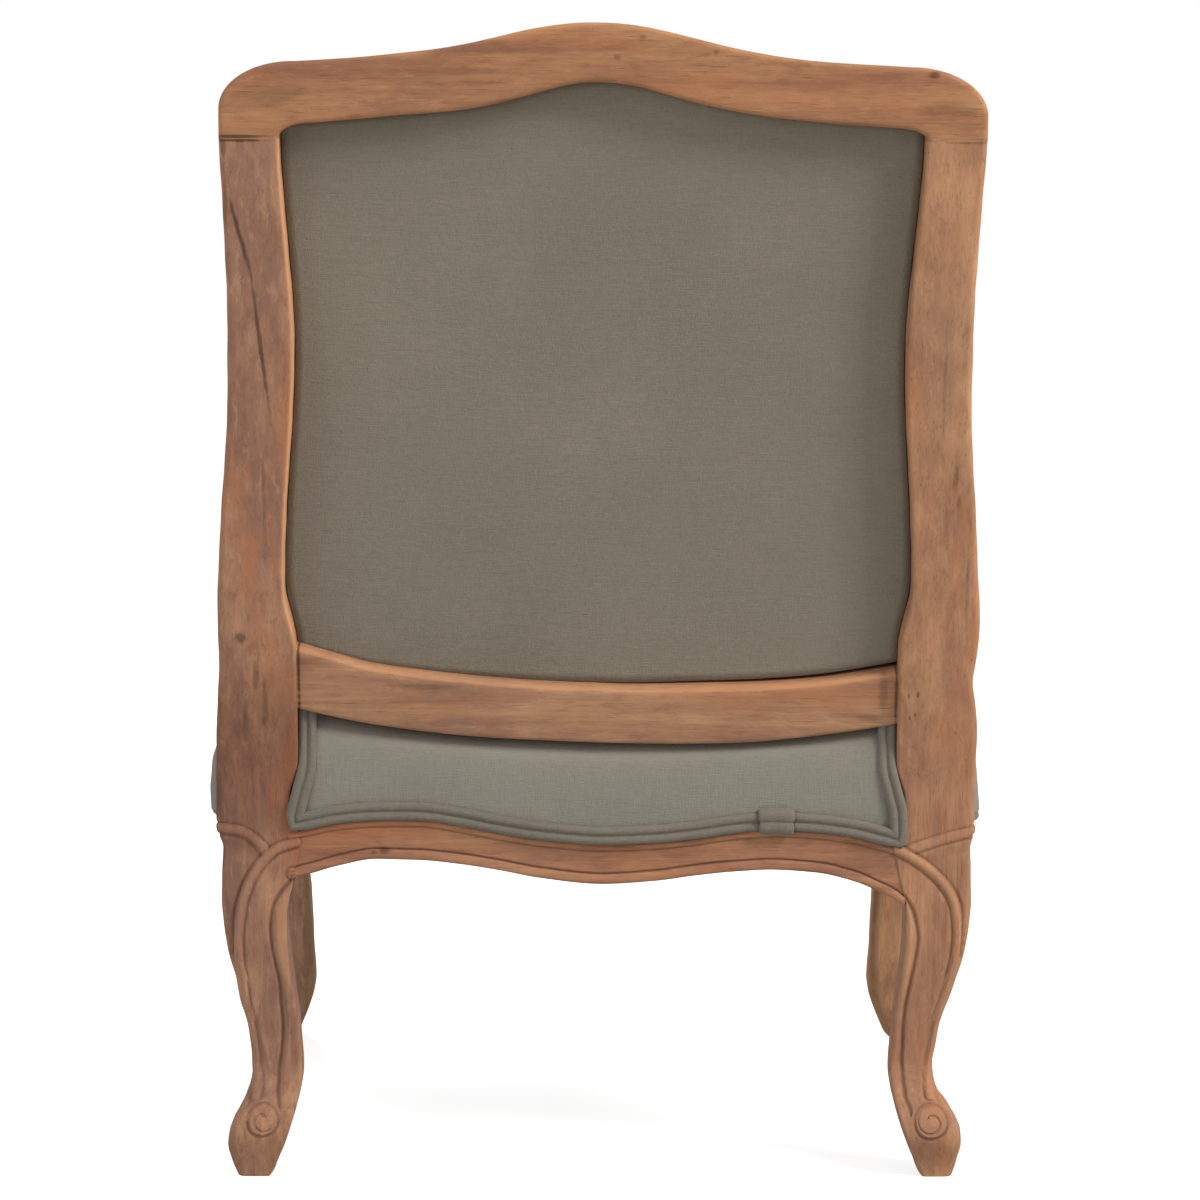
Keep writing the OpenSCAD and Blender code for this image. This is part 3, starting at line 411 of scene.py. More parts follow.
# Outlines of posts and legs as (height, distance from the middle), of aprons and crest as (distance, height)
post_out = [(0, 317), (14, 322), (28, 325), (43, 323), (57, 316), (72, 308), (86, 303.5), (101, 302), (115, 303),
            (129, 305), (144, 309), (158, 313.5), (173, 318), (187, 322), (201, 325), (216, 327.5), (230, 329),
            (244, 330.5), (273, 331), (294, 330.5), (309, 332), (345, 330), (434, 328.5), (488, 329), (567, 325),
            (645, 318), (697, 315), (773, 314), (848, 316), (905, 318)]
post_in = [(0, 286), (14, 281), (28, 275), (43, 270), (57, 266), (72, 262.5), (86, 261), (101, 261.5), (115, 262.5),
           (129, 263.5), (144, 265), (158, 267), (173, 269.5), (187, 271), (201, 272.5), (216, 273), (230, 273),
           (244, 271.5), (262, 267), (273, 264.5), (290, 262), (309, 262), (314, 265), (322, 269), (338, 269),
           (352, 265), (364, 262), (466, 262)]
open_line = [(ear_v, open_seat), (ear_v + open_belly_rise, open_belly), (waist_v, open_waist), (joint_v, open_top)]
leg_widths = [(0, foot_w), (toe_z, toe_w), (ankle_z, ankle_w), (knee_z, knee_w), (block_z, block)]
post_fade = [(rail_top, block), (rail_top + block_fade, post_d)]
leg_insets = [(0, foot_in), (toe_z, toe_in), (ankle_z, ankle_in), (knee_z, knee_in), (block_z, 0)]
leg_rounding = [(0, 8), (toe_z, 12), (150, 12), (knee_z, 10), (block_z, 5)]
kick_line = [(0, toe_kick + toe_in - foot_in), (toe_z, toe_kick), (ankle_z, -ankle_tuck), (knee_z, knee_in),
             (block_z, 0)]
front_in = [(0, 308), (6, 304), (14, 300), (31, 293), (48, 288), (65, 285.5), (98, 286.5), (132, 288), (157, 290),
            (170, 292), (200, 295.5), (230, 297), (248, 291), (block_z, 286), (shoulder_z, 286)]
apron_half = [(0, 294.5), (50, 297.5), (85, 302), (120, 308), (157, 312), (190, 311), (225, 307.5), (250, 302),
              (262, 299), (272, 297)]
apron_top = [(-x, z) for x, z in apron_half[:0:-1]] + apron_half
apron_foot = [(-272, 246), (-262, 253), (-250, 258.5), (-228, 267.5), (-192, 275), (-157, 276.5), (-122, 274),
              (-87, 269.5), (-50, 263.5), (0, 259.5), (50, 263.5), (87, 269.5), (122, 274), (157, 276.5),
              (192, 276.5), (228, 269.4), (250, 262.4), (262, 259), (272, 255.5)]
APRON_SLOPE, LOW_SLOPE, CREST_SLOPE = 0.026, 0.015, 0.007
BACK_SKEW = 0.008, -0.006
sole_h, dowel_half, dowel_r, dowel_apart = 9, 24, 5, 13
crest_over = [(-318, 0), (-276, -1), (-228, 0.6), (-170, 1.6), (-127, 2), (-89, 1.6), (-3, 0.6), (25, 1.5),
              (73, 3.5), (155, 4), (217, 1.2), (270, -1.2), (318, 0)]
crest_under = [(-268, 1), (-210, 2.1), (-165, 2.6), (-115, 2.6), (-50, 1.5), (0, 0.3), (20, 1.3), (50, 1.6),
               (100, 2.2), (170, 4.8), (225, 3.5), (262, 1.4)]

# How far the photo's uneven back strays from those outlines
low_top_by = [(-262, -14.5), (-207, -14.5), (-145, -12.5), (-84, -10), (-22, -9), (9, -8), (195, -7.6), (226, -4.6),
              (262, -1)]
low_bottom_by = [(-262, -5.5), (-145, -5.5), (-84, -3.6), (-22, -1.6), (40, -0.8), (130, -2), (190, -2.2),
                 (226, -1.4), (262, 0)]
post_out_by = {1: [(40, 0), (62, 0), (85, 1.8), (98, 4.2), (123, 4.6), (148, 4.2), (160, 2.4), (180, 0), (290, 0),
                   (312, 2), (335, 3.8), (360, 4.4), (385, 4.2), (405, 3.4), (425, 2.2), (450, 0.4), (470, 0)],
               -1: [(0, -1.5), (21, -3), (34, -2.2), (50, -1), (60, -1.6), (72, -5), (85, -4), (98, -2.4),
                    (112, -0.5), (130, 0), (315, 0), (335, 1), (360, 2.4), (390, 3.2), (405, 2.6), (425, 0.8),
                    (440, 0)]}

# Carving as (distance in from the outer edge, height). The two legs are cut by hand and differ.
low_bead = [(6, 178), (4.5, 151), (3.6, 125), (3.6, 98), (5.5, 82), (9, 69)]
outer_bead = {1: path([(80, 299), (70, 296.6), (50, 290.5), (37, 279.3), (27, 264.3), (20, 247.6), (14, 226),
                       (9.5, 204)] + low_bead, 70),
              -1: path([(80, 294.5), (73, 292.6), (50, 281), (29, 263.5), (18, 248), (11.5, 230),
                        (8, 206)] + low_bead, 70)}
inner_groove = {1: path([(80, 272), (68, 267), (59.6, 259.8), (46, 240.6), (41, 221.8), (39.5, 196.6),
                         (38.4, 169.3), (35, 142.4), (30.5, 120.4), (26, 98.5), (24, 88), (25.5, 76), (33, 62),
                         (38, 52)], 60),
                -1: path([(80, 261), (73, 258), (59, 247), (49.5, 231), (43.5, 208), (42, 185), (38.5, 155.6),
                          (33, 127), (29.5, 100.5), (28, 88), (29, 76), (35, 62), (39, 52)], 60)}
shoulder_bead = {1: path([(-4, 309), (6, 308), (16, 307), (25, 303.5), (35, 294), (40, 287)], 20),
                 -1: path([(-4, 306), (6, 305), (20, 301.5), (35, 297), (50, 292), (58, 288)], 20)}
under_bead = {1: [(0, 170), (8, 206), (13, 226), (19, 247.6), (26, 264.3), (36, 279.3), (44, 288)],
              -1: [(0, 170), (7, 206), (10.5, 230), (17, 248), (28, 263.5), (44, 277)]}
under_shoulder = {1: [(0, 303), (10, 303), (24, 299), (33, 291), (44, 282)],
                  -1: [(0, 299.5), (20, 296), (35, 291), (44, 289)]}
VOLUTE = {1: (294, 51, 13), -1: (295, 50, 14)}
CURL = (267.5, 268.5, 5)


def scroll(x, z, centre, high, deep):
    """A disc that stands proud, with a spiral groove that winds in to a button."""
    cx, cz, r = centre
    away = np.hypot(x - cx, z - cz)
    angle = np.arctan2(z - cz, x - cx) / (2 * math.pi) % 1
    pitch, button = r * 0.62, r * 0.3
    phase = np.abs((away / pitch + angle + 0.15) % 1 - 0.5)
    groove = rise(1 - (0.5 - phase) * pitch / 1.7) * (away > button)
    proud = high - deep * groove + 0.5 * cut(1 - away / button)
    return rise((r - away) / 2) * proud + dip(np.abs(away - r - 0.6), 2.2, deep * 0.8)


def carving(u, z, side=1):
    """Height of the carving over the face of a leg."""
    d = from_line(u, z, outer_bead[side])
    fade = rise((z - 60) / 12)
    h = fade * (round_bead(d, 4.1, 2.1) + dip(np.abs(d - 5.0), 2.5, 1.0))
    g = from_line(u, z, inner_groove[side])
    h += dip(g, 3.0, 1.8)
    beyond = u - through(inner_groove[side][::-1][:, ::-1], z)
    h += np.where(z < 262, rise((z - 58) / 18) * rise((beyond - 2) / 4), 0)
    s = from_line(u, z, shoulder_bead[side])
    clear = rise((d - 3.5) / 2)
    h += clear * (round_bead(s, 4.4, 1.7 if side > 0 else 1.2) + dip(np.abs(s - 5.2), 2.2, 0.8))
    low, high = [through(line[side], np.clip(u, 0, 44)) for line in (under_bead, under_shoulder)]
    flank = np.where(u < 42, 1.7 * rise(np.minimum(z - low, high - z) / 12), 0)
    return h - flank, flank


def leg_section(z, out, inn, deep, kick, r, body, side=1, rear=True):
    """Rings of a leg in its own frame: across, outward from the face and up, with the carving on two faces."""
    crisp = np.interp(z, (225, 262, 318, 330), (3.5, 1.2, 1.2, 2.6)) if rear else r
    x, y, dirs = rounded(inn, out, kick - deep, kick, [r, np.minimum(crisp, r), r, r], (56, 10, 10, 50), 9)
    on_face = dirs[:, 1] >= dirs[:, 0]
    u = np.where(on_face[None, :], np.asarray(out)[:, None] - x, np.asarray(kick)[:, None] - y)
    zz = np.broadcast_to(z[:, None], x.shape)
    shown = (dirs[:, 0] >= -0.2) & (dirs[:, 1] >= -0.2) | (dirs[:, 1] > 0.4)
    h, flank = [np.where(on_face[None, :], a, b) for a, b in zip(carving(u, zz, side), carving(u, zz))]
    h, flank = [np.where(shown[None, :], v, 0) for v in (h, flank)]
    h = np.where(on_face[None, :] | (h < 0), h, 0.45 * h)
    cx, cz, radius = VOLUTE[side]
    foot_x, foot_y = np.interp(cz, z, out), np.interp(cz, z, kick)
    across = np.where(on_face[None, :], x, foot_y - y - cx + foot_x)
    across = across if rear else np.where(on_face[None, :], x + cx - foot_x + 29, across)
    near = np.hypot(across - cx, zz - cz)
    h = np.where(shown[None, :] & (near < radius + 4), scroll(across, zz, (cx, cz, radius), 1.6, 1.5), h)
    if rear and side > 0:
        h = h + np.where(on_face[None, :], scroll(x, zz, CURL, 1.3, 1.3), 0)
    h *= cut((body - zz) / 4 + 1)
    wide = np.asarray(out - inn)[:, None]
    h *= 1 if rear else rise((wide - u) / 4)
    wear_and_highlight = 0.25 * np.sin(zz * 0.11 + x * 0.05) * np.sin(zz * 0.043 + 1.3)
    mid = 0.5 * (np.asarray(inn) + out)[:, None]
    sole = 1 - cut((sole_h - zz) / sole_h) ** 2 * np.where(x < mid, 0.16, 0.05)
    # The last value is the carving's height, used for its painted shade and highlight, with the broad flank's depth
    # counted at three tenths.
    return mid + (x + dirs[:, 0] * (h + wear_and_highlight) - mid) * sole, y + dirs[:, 1] * (h + wear_and_highlight), zz, h + 0.7 * flank


def bent(x, y, h):
    """Moves points at height h along a post into the rake of the back."""
    w = bend_len / 2
    v = h - bend_z
    r = w / math.tan(rake / 2)
    a = rake * cut((v + w) / bend_len)
    py = np.where(v <= -w, 0, np.where(v >= w, v * math.sin(rake), r * (1 - np.cos(a))))
    pz = np.where(v <= -w, h, np.where(v >= w, bend_z + v * math.cos(rake), bend_z - w + r * np.sin(a)))
    return np.stack([x, py + y * np.cos(a), pz - y * np.sin(a)], -1)


def askew(x, v):
    """The back's upper right is a little wider than its left."""
    return x * (1 + np.where(x < 0, *BACK_SKEW) * rise((v - 240) / 380))


def on_back(x, d, v):
    """Points of the raked back: across, depth from the rear face and height."""
    x, d, v = np.broadcast_arrays(x, d, v)
    z = bend_z + v * math.cos(rake) + d * math.sin(rake)
    return np.stack([askew(x, v), v * math.sin(rake) - d * math.cos(rake), z], -1)


def rear_post(side):
    """From the foot to the joint under the crest. The right one has a notch in its outer edge at the rail."""
    h = np.concatenate([np.linspace(0, 318, 266), np.arange(321, 400, 3), np.linspace(400, bend_z + joint_v, 110)])
    z = np.where(h > bend_z, bend_z + (h - bend_z) * math.cos(rake), h)
    out = through(post_out, z) + through(post_out_by[side], z)
    inn = np.where(h < bend_z + ear_v, through(post_in, z), ease(open_line, h - bend_z))
    deep = np.where(h < rail_top, ease(leg_widths, h), ease(post_fade, h))
    r = np.where(h < block_z, ease(leg_rounding, h), 5)
    if side < 0:
        out = out - 2.4 * np.exp(-((z - 440) / 14) ** 2) + 1.6 * np.exp(-((z - 492) / 26) ** 2)
    x, y, zz, relief = leg_section(h, out, inn, deep, ease(kick_line, h), r, 325, side)
    rings = bent(x, y, zz)
    rings[..., 0] = askew(side * rings[..., 0], rings[..., 2] - bend_z)
    from_inner = x - inn[:, None]
    # Painted highlight: a pale strip down each post's inner arris, strong on the left post that faces the key
    # light. The pale strip on each rear leg's inner edge is partly painted highlight, partly rubbed wear.
    arris = np.exp(-((from_inner / 2.0) ** 2)) * cut((y + 22) / 10) * cut((zz - 455) / 30)
    leg_edge = np.exp(-(((from_inner - 5) / 5) ** 2)) * cut((y + 6) / 6)
    leg_edge *= cut((250 - zz) / 30) * cut((zz - 88) / 40)
    wear_and_highlight = arris * (0.85 if side > 0 else 0.15) + leg_edge * (0.5 if side > 0 else 0.2)
    piece = build(SIDE[side] + "_post_carved", rings, flip=side < 0, relief=relief, wear_and_highlight=wear_and_highlight)
    dress(piece, "show_wood", SIDE[side] + "_back_post", material=back_wood[side])


def front_leg(side):
    """The leg, and the block of it that the seat cover hides."""
    z = np.linspace(0, shoulder_z, 258)
    inset = ease(leg_insets, z)
    x, y, zz, relief = leg_section(z, front_half - inset, through(front_in, z), ease(leg_widths, z), -inset,
                                   ease(leg_rounding, z), 318, side, False)
    name = SIDE[side] + "_front_leg_carved"
    leg = build(name, np.stack([side * x, -seat_depth - y, zz], -1), flip=side > 0, relief=relief)
    tenon_in = face_in + rebate + 1
    outer = front_half - tenon_in
    heights = np.array([shoulder_z - 2, shoulder_z + 1, rail_top - 3, rail_top - 0.8, rail_top])
    trim = np.array([0, 0, 0, 0.6, 2.4])
    tx, ty, _ = rounded(outer - (block - tenon_in) + trim, outer - trim, tenon_in - seat_depth + trim,
                        block - seat_depth - trim, 22 - trim, (6, 6, 6, 6), 8)
    top = build(name + "_top", np.stack([side * tx, ty, np.broadcast_to(heights[:, None], tx.shape)], -1),
                flip=side < 0)
    for piece in (leg, top):
        dress(piece, "show_wood", "front_" + SIDE[side] + "_leg", material=leg_wood[side])


# Back frame
def crest_top(x):
    return shoulder_v + crest_rise * np.exp(-(x / crest_spread) ** 2) + through(crest_over, x)


crest_tail = 1 / (1 + ((open_top - crest_fillet) / inner_spread) ** 2)


def crest_in(x):
    f = (1 / (1 + (x / inner_spread) ** 2) - crest_tail) / (1 - crest_tail)
    low, high = shoulder_v - shoulder_band, back_len - crest_band
    return low + (high - low) * f + through(crest_under, x)


def crest_rail():
    """Sections from the inner edge to the outer one, from post to post over the crest."""
    fillet_w, corner_v, edge_r = 27, 42, 4.6
    fx, cx, cv = open_top - fillet_w, top_half - corner_w, shoulder_v - corner_v
    spans = []
    for side in (1, -1):
        fv = crest_in(side * fx) - joint_v
        over = crest_top(side * cx) - shoulder_v
        half = [((side * open_top, joint_v), (side * top_half, joint_v))]
        for t in np.radians(np.arange(0, 91, 3)):
            half.append(((side * (fx + fillet_w * math.cos(t)), joint_v + fv * math.sin(t)),
                         (side * (cx + corner_w * math.cos(t)), cv + (corner_v + over) * math.sin(t))))
        for g in side * np.linspace(1, 0, 70)[1:]:
            half.append(((fx * g, crest_in(fx * g)), (cx * g, crest_top(cx * g))))
        spans += half if side > 0 else half[-2::-1]
    spans = np.array(spans)
    a, b = spans[:, 0], spans[:, 1]
    length = np.linalg.norm(b - a, axis=1)
    e = (b - a) / length[:, None]
    fall = crest_bevel * np.maximum(0, e[:, 1]) / length
    t, y, _ = rounded(0, length, 0, post_d, edge_r, (24, 14, 24, 14), 7)
    t = t * (1 - fall[:, None] * y / post_d)
    x, v = a[:, :1] + e[:, :1] * t, a[:, 1:] + e[:, 1:] * t
    v = v + CREST_SLOPE * x * cut((v - joint_v) / 30)
    dress(build("crest_shaped", on_back(x, y, v), flip=True), "show_wood", "crest_rail", material=crest_wood)


def low_top(x):
    return low_rail_top + low_rail_sag * (x / open_seat) ** 2 + through(low_top_by, x)


def low_bottom(x):
    return low_rail_v + low_rail_sag * (x / open_seat) ** 2 + through(low_bottom_by, x)


def lower_rail():
    x = np.linspace(-open_seat - 2, open_seat + 2, 90)
    top = low_top(x)[:, None]
    v, y, _ = rounded(low_bottom(x), low_top(x), low_rail_in, post_d, 4.0, (14, 16, 14, 16), 7)
    y = np.where(y < low_rail_in + 12, y + 2.6 * cut((v - (top - 7)) / 7) ** 2, y)
    # Painted highlight along the rail's top edge, where it catches the key light.
    wear_and_highlight = 0.5 * cut((v - top + 3.6) / 1.5) * (y < low_rail_in + 14)
    piece = build("lower_back_rail_shaped", on_back(x[:, None], y, v + LOW_SLOPE * x[:, None]), wear_and_highlight=wear_and_highlight)
    dress(piece, "show_wood", "lower_back_rail", material=low_wood)


def rail_dowels():
    """Dowels in the middle of the lower rail's height, half in the rail and half in the post."""
    t = np.radians(np.arange(0, 360, 15))
    for side in (1, -1):
        at = side * open_seat
        middle = 0.5 * (low_top(at) + low_bottom(at)) + LOW_SLOPE * side * open_seat
        for up in (1, -1):
            rings = on_back(at + np.array([[-dowel_half], [dowel_half]]),
                            0.5 * (low_rail_in + post_d) + dowel_r * np.cos(t),
                            middle + dowel_apart * up + dowel_r * np.sin(t))
            piece = build("rail_dowel_{}_{}".format(SIDE[side], "top" if up > 0 else "low"), rings)
            dress(piece, "inner_wood", "lower_back_rail_dowels", material=inner_wood)


# Seat rails with a moulded face
def band_line(s, l, drop):
    """Top of a moulded band: level at its two peaks, lower in the middle and at the ends."""
    peak = band_peak * l
    return np.where(np.abs(s) < peak, band_top - drop * (1 - rise(np.abs(s) / peak)),
                    band_top - band_lift * rise((np.abs(s) - peak) / (l - peak)))


def band_foot(s, l, drop):
    peak = band_peak * l
    low = band_top - band + (block_z - band_top + band) * rise((np.abs(s) - peak) / (l - peak))
    return np.where(np.abs(s) < peak, band_line(s, l, drop) - band, low)


def rear_line(s, line):
    """Height along the rear apron, which sits a little askew."""
    return through(line, s) + APRON_SLOPE * s


def half_at(y):
    f = np.minimum(1, (-y - block) / (seat_depth - 2 * block))
    return side_rail_half + (front_half - face_in - side_rail_half) * f


def side_face(y):
    """The side rails run in to meet the outer faces of the rear posts."""
    return half_at(y) - 5.5 * rise((y + 250) / 180)


def bow_at(x):
    return front_bow * np.maximum(0, 1 - (x / front_open) ** 2)


def rail_rings(foot, top, bow):
    """Inward distance and height of a rail's sections, and how far each point stands proud."""
    foot, top, bow = foot[:, None], top[:, None], bow[:, None]
    z = (foot + (top - foot) * np.linspace(0, 1, 44))[:, ::-1]
    above, under = z - foot, top - z
    swell = (round_bead(np.abs(above - 4.2), 4.2, 1.5) + dip(np.abs(above - 9.2), 1.8, 1.3)
             + round_bead(np.abs(under - 2.6), 2.8, 1.3) + dip(np.abs(under - 6.2), 1.4, 0.7) - 0.4)
    back, high = np.full_like(foot, rail_th), np.full_like(foot, rail_top)
    inward = np.concatenate([-bow - swell, back, back, rebate - bow, rebate - bow], 1)
    height = np.concatenate([z, foot, high, high, top + 0.2], 1)
    return inward, height, np.concatenate([swell, np.zeros((len(foot), 4))], 1)


def moulded(name, x, y, z, relief, flip, node_name, material):
    rings = np.stack(np.broadcast_arrays(x, y, z), -1)
    dress(build(name, rings, relief=relief, flip=flip), "show_wood", node_name, material=material)


def seat_rails():
    s = np.linspace(-open_seat - 9, open_seat + 9, 160)
    d, z, up = rail_rings(rear_line(s, apron_foot), rear_line(s, apron_top), 0 * s)
    moulded("rear_rail_moulded", s[:, None], -0.7 - d, z, up, True, "rear_seat_rail", apron_wood)
    s = np.linspace(-front_open, front_open, 150)
    d, z, up = rail_rings(band_foot(s, front_open, band_drop), band_line(s, front_open, band_drop), bow_at(s))
    moulded("front_rail_moulded", s[:, None], face_in - seat_depth + d, z, up, False, "front_seat_rail",
            front_apron_wood)
    s = np.linspace(-side_len, side_len, 120)
    d, z, up = rail_rings(band_foot(s, side_len, side_drop), band_line(s, side_len, side_drop), 0 * s)
    y = side_mid + s[:, None]
    for side, tag in SIDE.items():
        moulded(tag + "_rail_moulded", side * (side_face(y) - d), y, z, up, side < 0, tag + "_side_rail", side_wood)


for side in (1, -1):
    rear_post(side)
    front_leg(side)
crest_rail()
lower_rail()
rail_dowels()
seat_rails()


# Seat
corner_a, corner_b = seat_corner / front_half, 2 * seat_corner / seat_depth
cover_lift, over_rails, side_z, edge_z, last_roll = 3, rail_top + 5, rail_top + side_rise, rail_top + seat_edge, 75
dome = [0.82, 0.6, 0.34, 0.1, dome_tip]
x_open = open_seat - 2 * gap
# Levels of the cushion's side: share of the height or -1 on the roll, turn of the roll, distance out
seat_levels = [(0, 0, gap), (0.3, 0, gap), (0.5, 0, seat_bulge * 0.75), (0.72, 0, seat_bulge), (1, 0, seat_bulge),
               (-1, 25, seat_bulge), (-1, 50, seat_bulge), (-1, last_roll, seat_bulge)]


def post_front(z):
    h = z - 10
    deep = float(ease(post_fade, h))
    return float(bent(np.array(0.0), np.array(-deep), np.array(h))[1]) - gap


def rail_front(z):
    return (z - bend_z) * math.tan(rake) - (post_d + 2 * gap) / math.cos(rake)


def under_rail(x, d):
    return bend_z + low_bottom(x) * math.cos(rake) + d * math.sin(rake) - 2 * gap


def rear_face(z):
    return gap - face_in - 5 * rise((z - rail_top) / seat_edge)


def band_at(x, y):
    """Top of the moulded bands below a place on the seat's outline."""
    if y < block - seat_depth and abs(x) < front_open:
        return float(band_line(x, front_open, band_drop))
    if y > -block and abs(x) < open_seat:
        return float(rear_line(x, apron_top))
    return float(band_line(max(-side_len, min(side_len, y - side_mid)), side_len, side_drop))


seat_tuck = ((308, 320, 331, 337, 343, 349, 357, 368, 375, 399, 418, 430),
             (-6, -6.7, -7.1, -3.9, -0.5, 0.6, 2.7, 3.7, 8, 8.5, 4, 0))


def seat_xy(a, b, out, z=None):
    """A place on the seat's outline. Near the posts the sides stay slim and lean in toward the top."""
    x = a * front_half
    front = face_in - seat_depth - bow_at(x) - out
    y = front * (1 - (b + 1) / 2)
    near = rise((y + 480) / 340)
    tuck = near * (0.8 if z is None else np.interp(z, *seat_tuck))
    return a * (half_at(y) + out - tuck), y


def side_places(n, turns, b_end):
    places = [(a, -1) for a in np.linspace(0, front_open / front_half, n + 1)] + [(1 - corner_a, -1)]
    for t in np.radians(turns):
        places.append((1 - corner_a + corner_a * math.sin(t), corner_b - 1 - corner_b * math.cos(t)))
    return places + [(1, b) for b in np.linspace(2 * block / seat_depth - 1, b_end, n)]


def seat_rear_point(k, x, base):
    """The panel between the posts bellies out a little and turns in under the lower rail."""
    below = under_rail(x, low_rail_in) + LOW_SLOPE * x
    inside = rise((x_open - abs(x)) / 12)
    if k < 5:
        f = (0, 0.22, 0.55, 0.82, 1)[k]
        z = base + (below - 1.5 - base) * f
        y = float(rear_face(z)) + inside * (0, 2.2, 3.8, 3.2, -10)[k]
        return x, y, z
    z = (under_rail(x, post_d) if k == 5 else under_rail(x, post_d) * 0.6 + edge_z * 0.4 if k == 6
         else side_z + (edge_z - side_z) * math.sin(math.radians(last_roll)))
    return x, rail_front(z) - (0, 2.2 * bead_r, 3 * bead_r)[k - 5], z


def seat_half_ring(k):
    part, t, out = seat_levels[k]
    t = math.radians(t)
    out -= seat_roll * (1 - math.cos(t))
    z_side = side_z + (edge_z - side_z) * math.sin(t)
    rolled = part < 0
    notch = post_front(z_side if rolled else band_top + (side_z - band_top) * part)
    ring = []
    for a, b in side_places(18, range(10, 91, 10), 1 - 2 * side_end / seat_depth):
        x, y = seat_xy(a, b, out)
        base = band_at(x, y) + cover_lift
        z = z_side if rolled else base + (side_z - base) * part
        ring.append((*seat_xy(a, b, out, z), z))
    x_in, z_in = x_open, z_side if rolled else over_rails + (side_z - over_rails) * part
    end = ring[-1]
    ring += [(end[0] - 12 * (1 - math.cos(t)), 13 * math.sin(t) - side_end, end[2])
             for t in np.radians((20, 40, 60, 80))]
    ring += [(end[0] - 13, notch, z_in), (x_in, notch, z_in), seat_rear_point(k, x_in, over_rails)]
    ring += [seat_rear_point(k, x, band_at(x, -1) + cover_lift) for x in np.linspace(x_in - 2.5, 0, 31)]
    return ring


def seat_rings():
    left = np.array([seat_half_ring(k) for k in range(8)])
    right = left[:, -2:0:-1] * (-1, 1, 1)
    x, y, z = right[..., 0], right[..., 1], right[..., 2]
    behind = cut((y + block) / 20) * (np.abs(x) < x_open)
    outside = (np.abs(x) > 300) * rise((y + 200) / 110)
    right[..., 0] += outside * np.interp(z, (308, 320, 331, 357, 375, 399, 418), (0.5, 1.8, 3.3, 3.5, 1.5, 1.5, 0))
    slope = APRON_SLOPE + (LOW_SLOPE - APRON_SLOPE) * cut((z - 300) / 60)
    right[:5, :, 2] += 2 * (behind * x * slope)[:5]
    rings = np.concatenate([left, right], 1)
    edge = rings[-1]
    middle = np.array([0, side_mid, side_z + (edge_z - side_z) * math.sin(math.radians(last_roll)) + seat_crown])
    tops = []
    for s in dome:
        y = middle[1] + (edge[:, 1] - middle[1]) * s
        z = edge[:, 2] + (middle[2] - edge[:, 2]) * (1 - s * s)
        tops.append(np.stack([s * edge[:, 0], y, z], -1))
    return np.concatenate([rings, tops])


def settle(piece, loose, centre, cap, pressure):
    """Lets a cover swell and pucker over its stuffing: held where loose is 0, calm where centre is near 0."""
    mesh, scene = piece.data, bpy.context.scene
    loose = cut(loose).ravel()
    group = piece.vertex_groups.new(name="held")
    for i in np.flatnonzero(loose < 1):
        group.add([int(i)], float(1 - loose[i]), "REPLACE")
    cloth = piece.modifiers.new("stuffing", "CLOTH")
    how = cloth.settings
    how.vertex_group_mass, how.pin_stiffness, how.quality, how.mass = "held", 1.0, 6, 0.3
    how.use_pressure, how.uniform_pressure_force, how.shrink_min = True, pressure, -0.018
    how.effector_weights.gravity = 0
    how.tension_stiffness = how.compression_stiffness = 15
    how.shear_stiffness, how.bending_stiffness = 5, 0.4
    cloth.point_cache.frame_start, cloth.point_cache.frame_end = 1, settle_frames
    first = np.empty(len(mesh.vertices) * 3)
    mesh.vertices.foreach_get("co", first)
    for at in range(1, settle_frames + 1):
        scene.frame_set(at)
    last = np.empty_like(first)
    piece.evaluated_get(bpy.context.evaluated_depsgraph_get()).data.vertices.foreach_get("co", last)
    move = (last - first).reshape(-1, 3)
    far = np.maximum(np.linalg.norm(move, axis=1), 1e-9)
    move *= (cap * np.tanh(far / cap) / far * np.minimum(1, loose * 1.5))[:, None]
    inner = rise((centre.ravel() - 0.12) / 0.4)[:, None]
    around = (centre.ravel() > 0.15) & (centre.ravel() < 0.25)
    move = inner * move + (1 - inner) * move[around].mean(axis=0)
    piece.modifiers.remove(cloth)
    piece.vertex_groups.remove(group)
    mesh.vertices.foreach_set("co", first + move.ravel())
    mesh.update()
    scene.frame_set(1)


def seat_cushion():
    rings = spread(seat_rings(), seat_rows)
    piece = build("seat_cushion", rings, sharp=60)
    y, z = rings[..., 1], rings[..., 2]
    centre = np.hypot(rings[..., 0] / front_half, (y - side_mid) / (seat_depth / 2))
    settle(piece, np.minimum((z - 318) / 30, (-y - 95) / 150), centre, 0.009, 3.0)
    dress(piece, "seat_linen", "seat_cover", "seat_foam")


seat_cushion()


# Inner back
def back_xv(a, b, inset):
    x = a * open_waist
    lo, hi = low_top(x) + inset, crest_in(x) - inset
    v = lo + (hi - lo) * (b + 1) / 2
    return a * (ease(open_line, v) - inset), v


def loop_places(ra, rb, edge, step):
    loop = []
    for q in range(4):
        sa, sb = (1 if q in (0, 3) else -1), (1 if q < 2 else -1)
        arc = [(sa * (1 - ra) + ra * math.cos(t), sb * (1 - rb) + rb * math.sin(t))
               for t in np.radians(90 * q + np.arange(0, 91, step))]
        na, nb = (-1 if q in (0, 1) else 1), (1 if q in (0, 3) else -1)
        last = np.array((na * (1 - ra if q % 2 == 0 else 1), nb * (1 if q % 2 == 0 else 1 - rb)))
        here = np.array(arc[-1])
        loop += arc + [tuple(here + (last - here) * i / (edge + 1)) for i in range(1, edge + 1)]
    return np.array(loop)


back_loop = loop_places(crest_fillet / open_waist, 2 * crest_fillet / (joint_v - low_rail_top), 34, 9)


def back_ring(s, inset, d):
    x, v = back_xv(back_loop[:, 0] * s, back_loop[:, 1] * s, inset)
    return on_back(x, d, v)


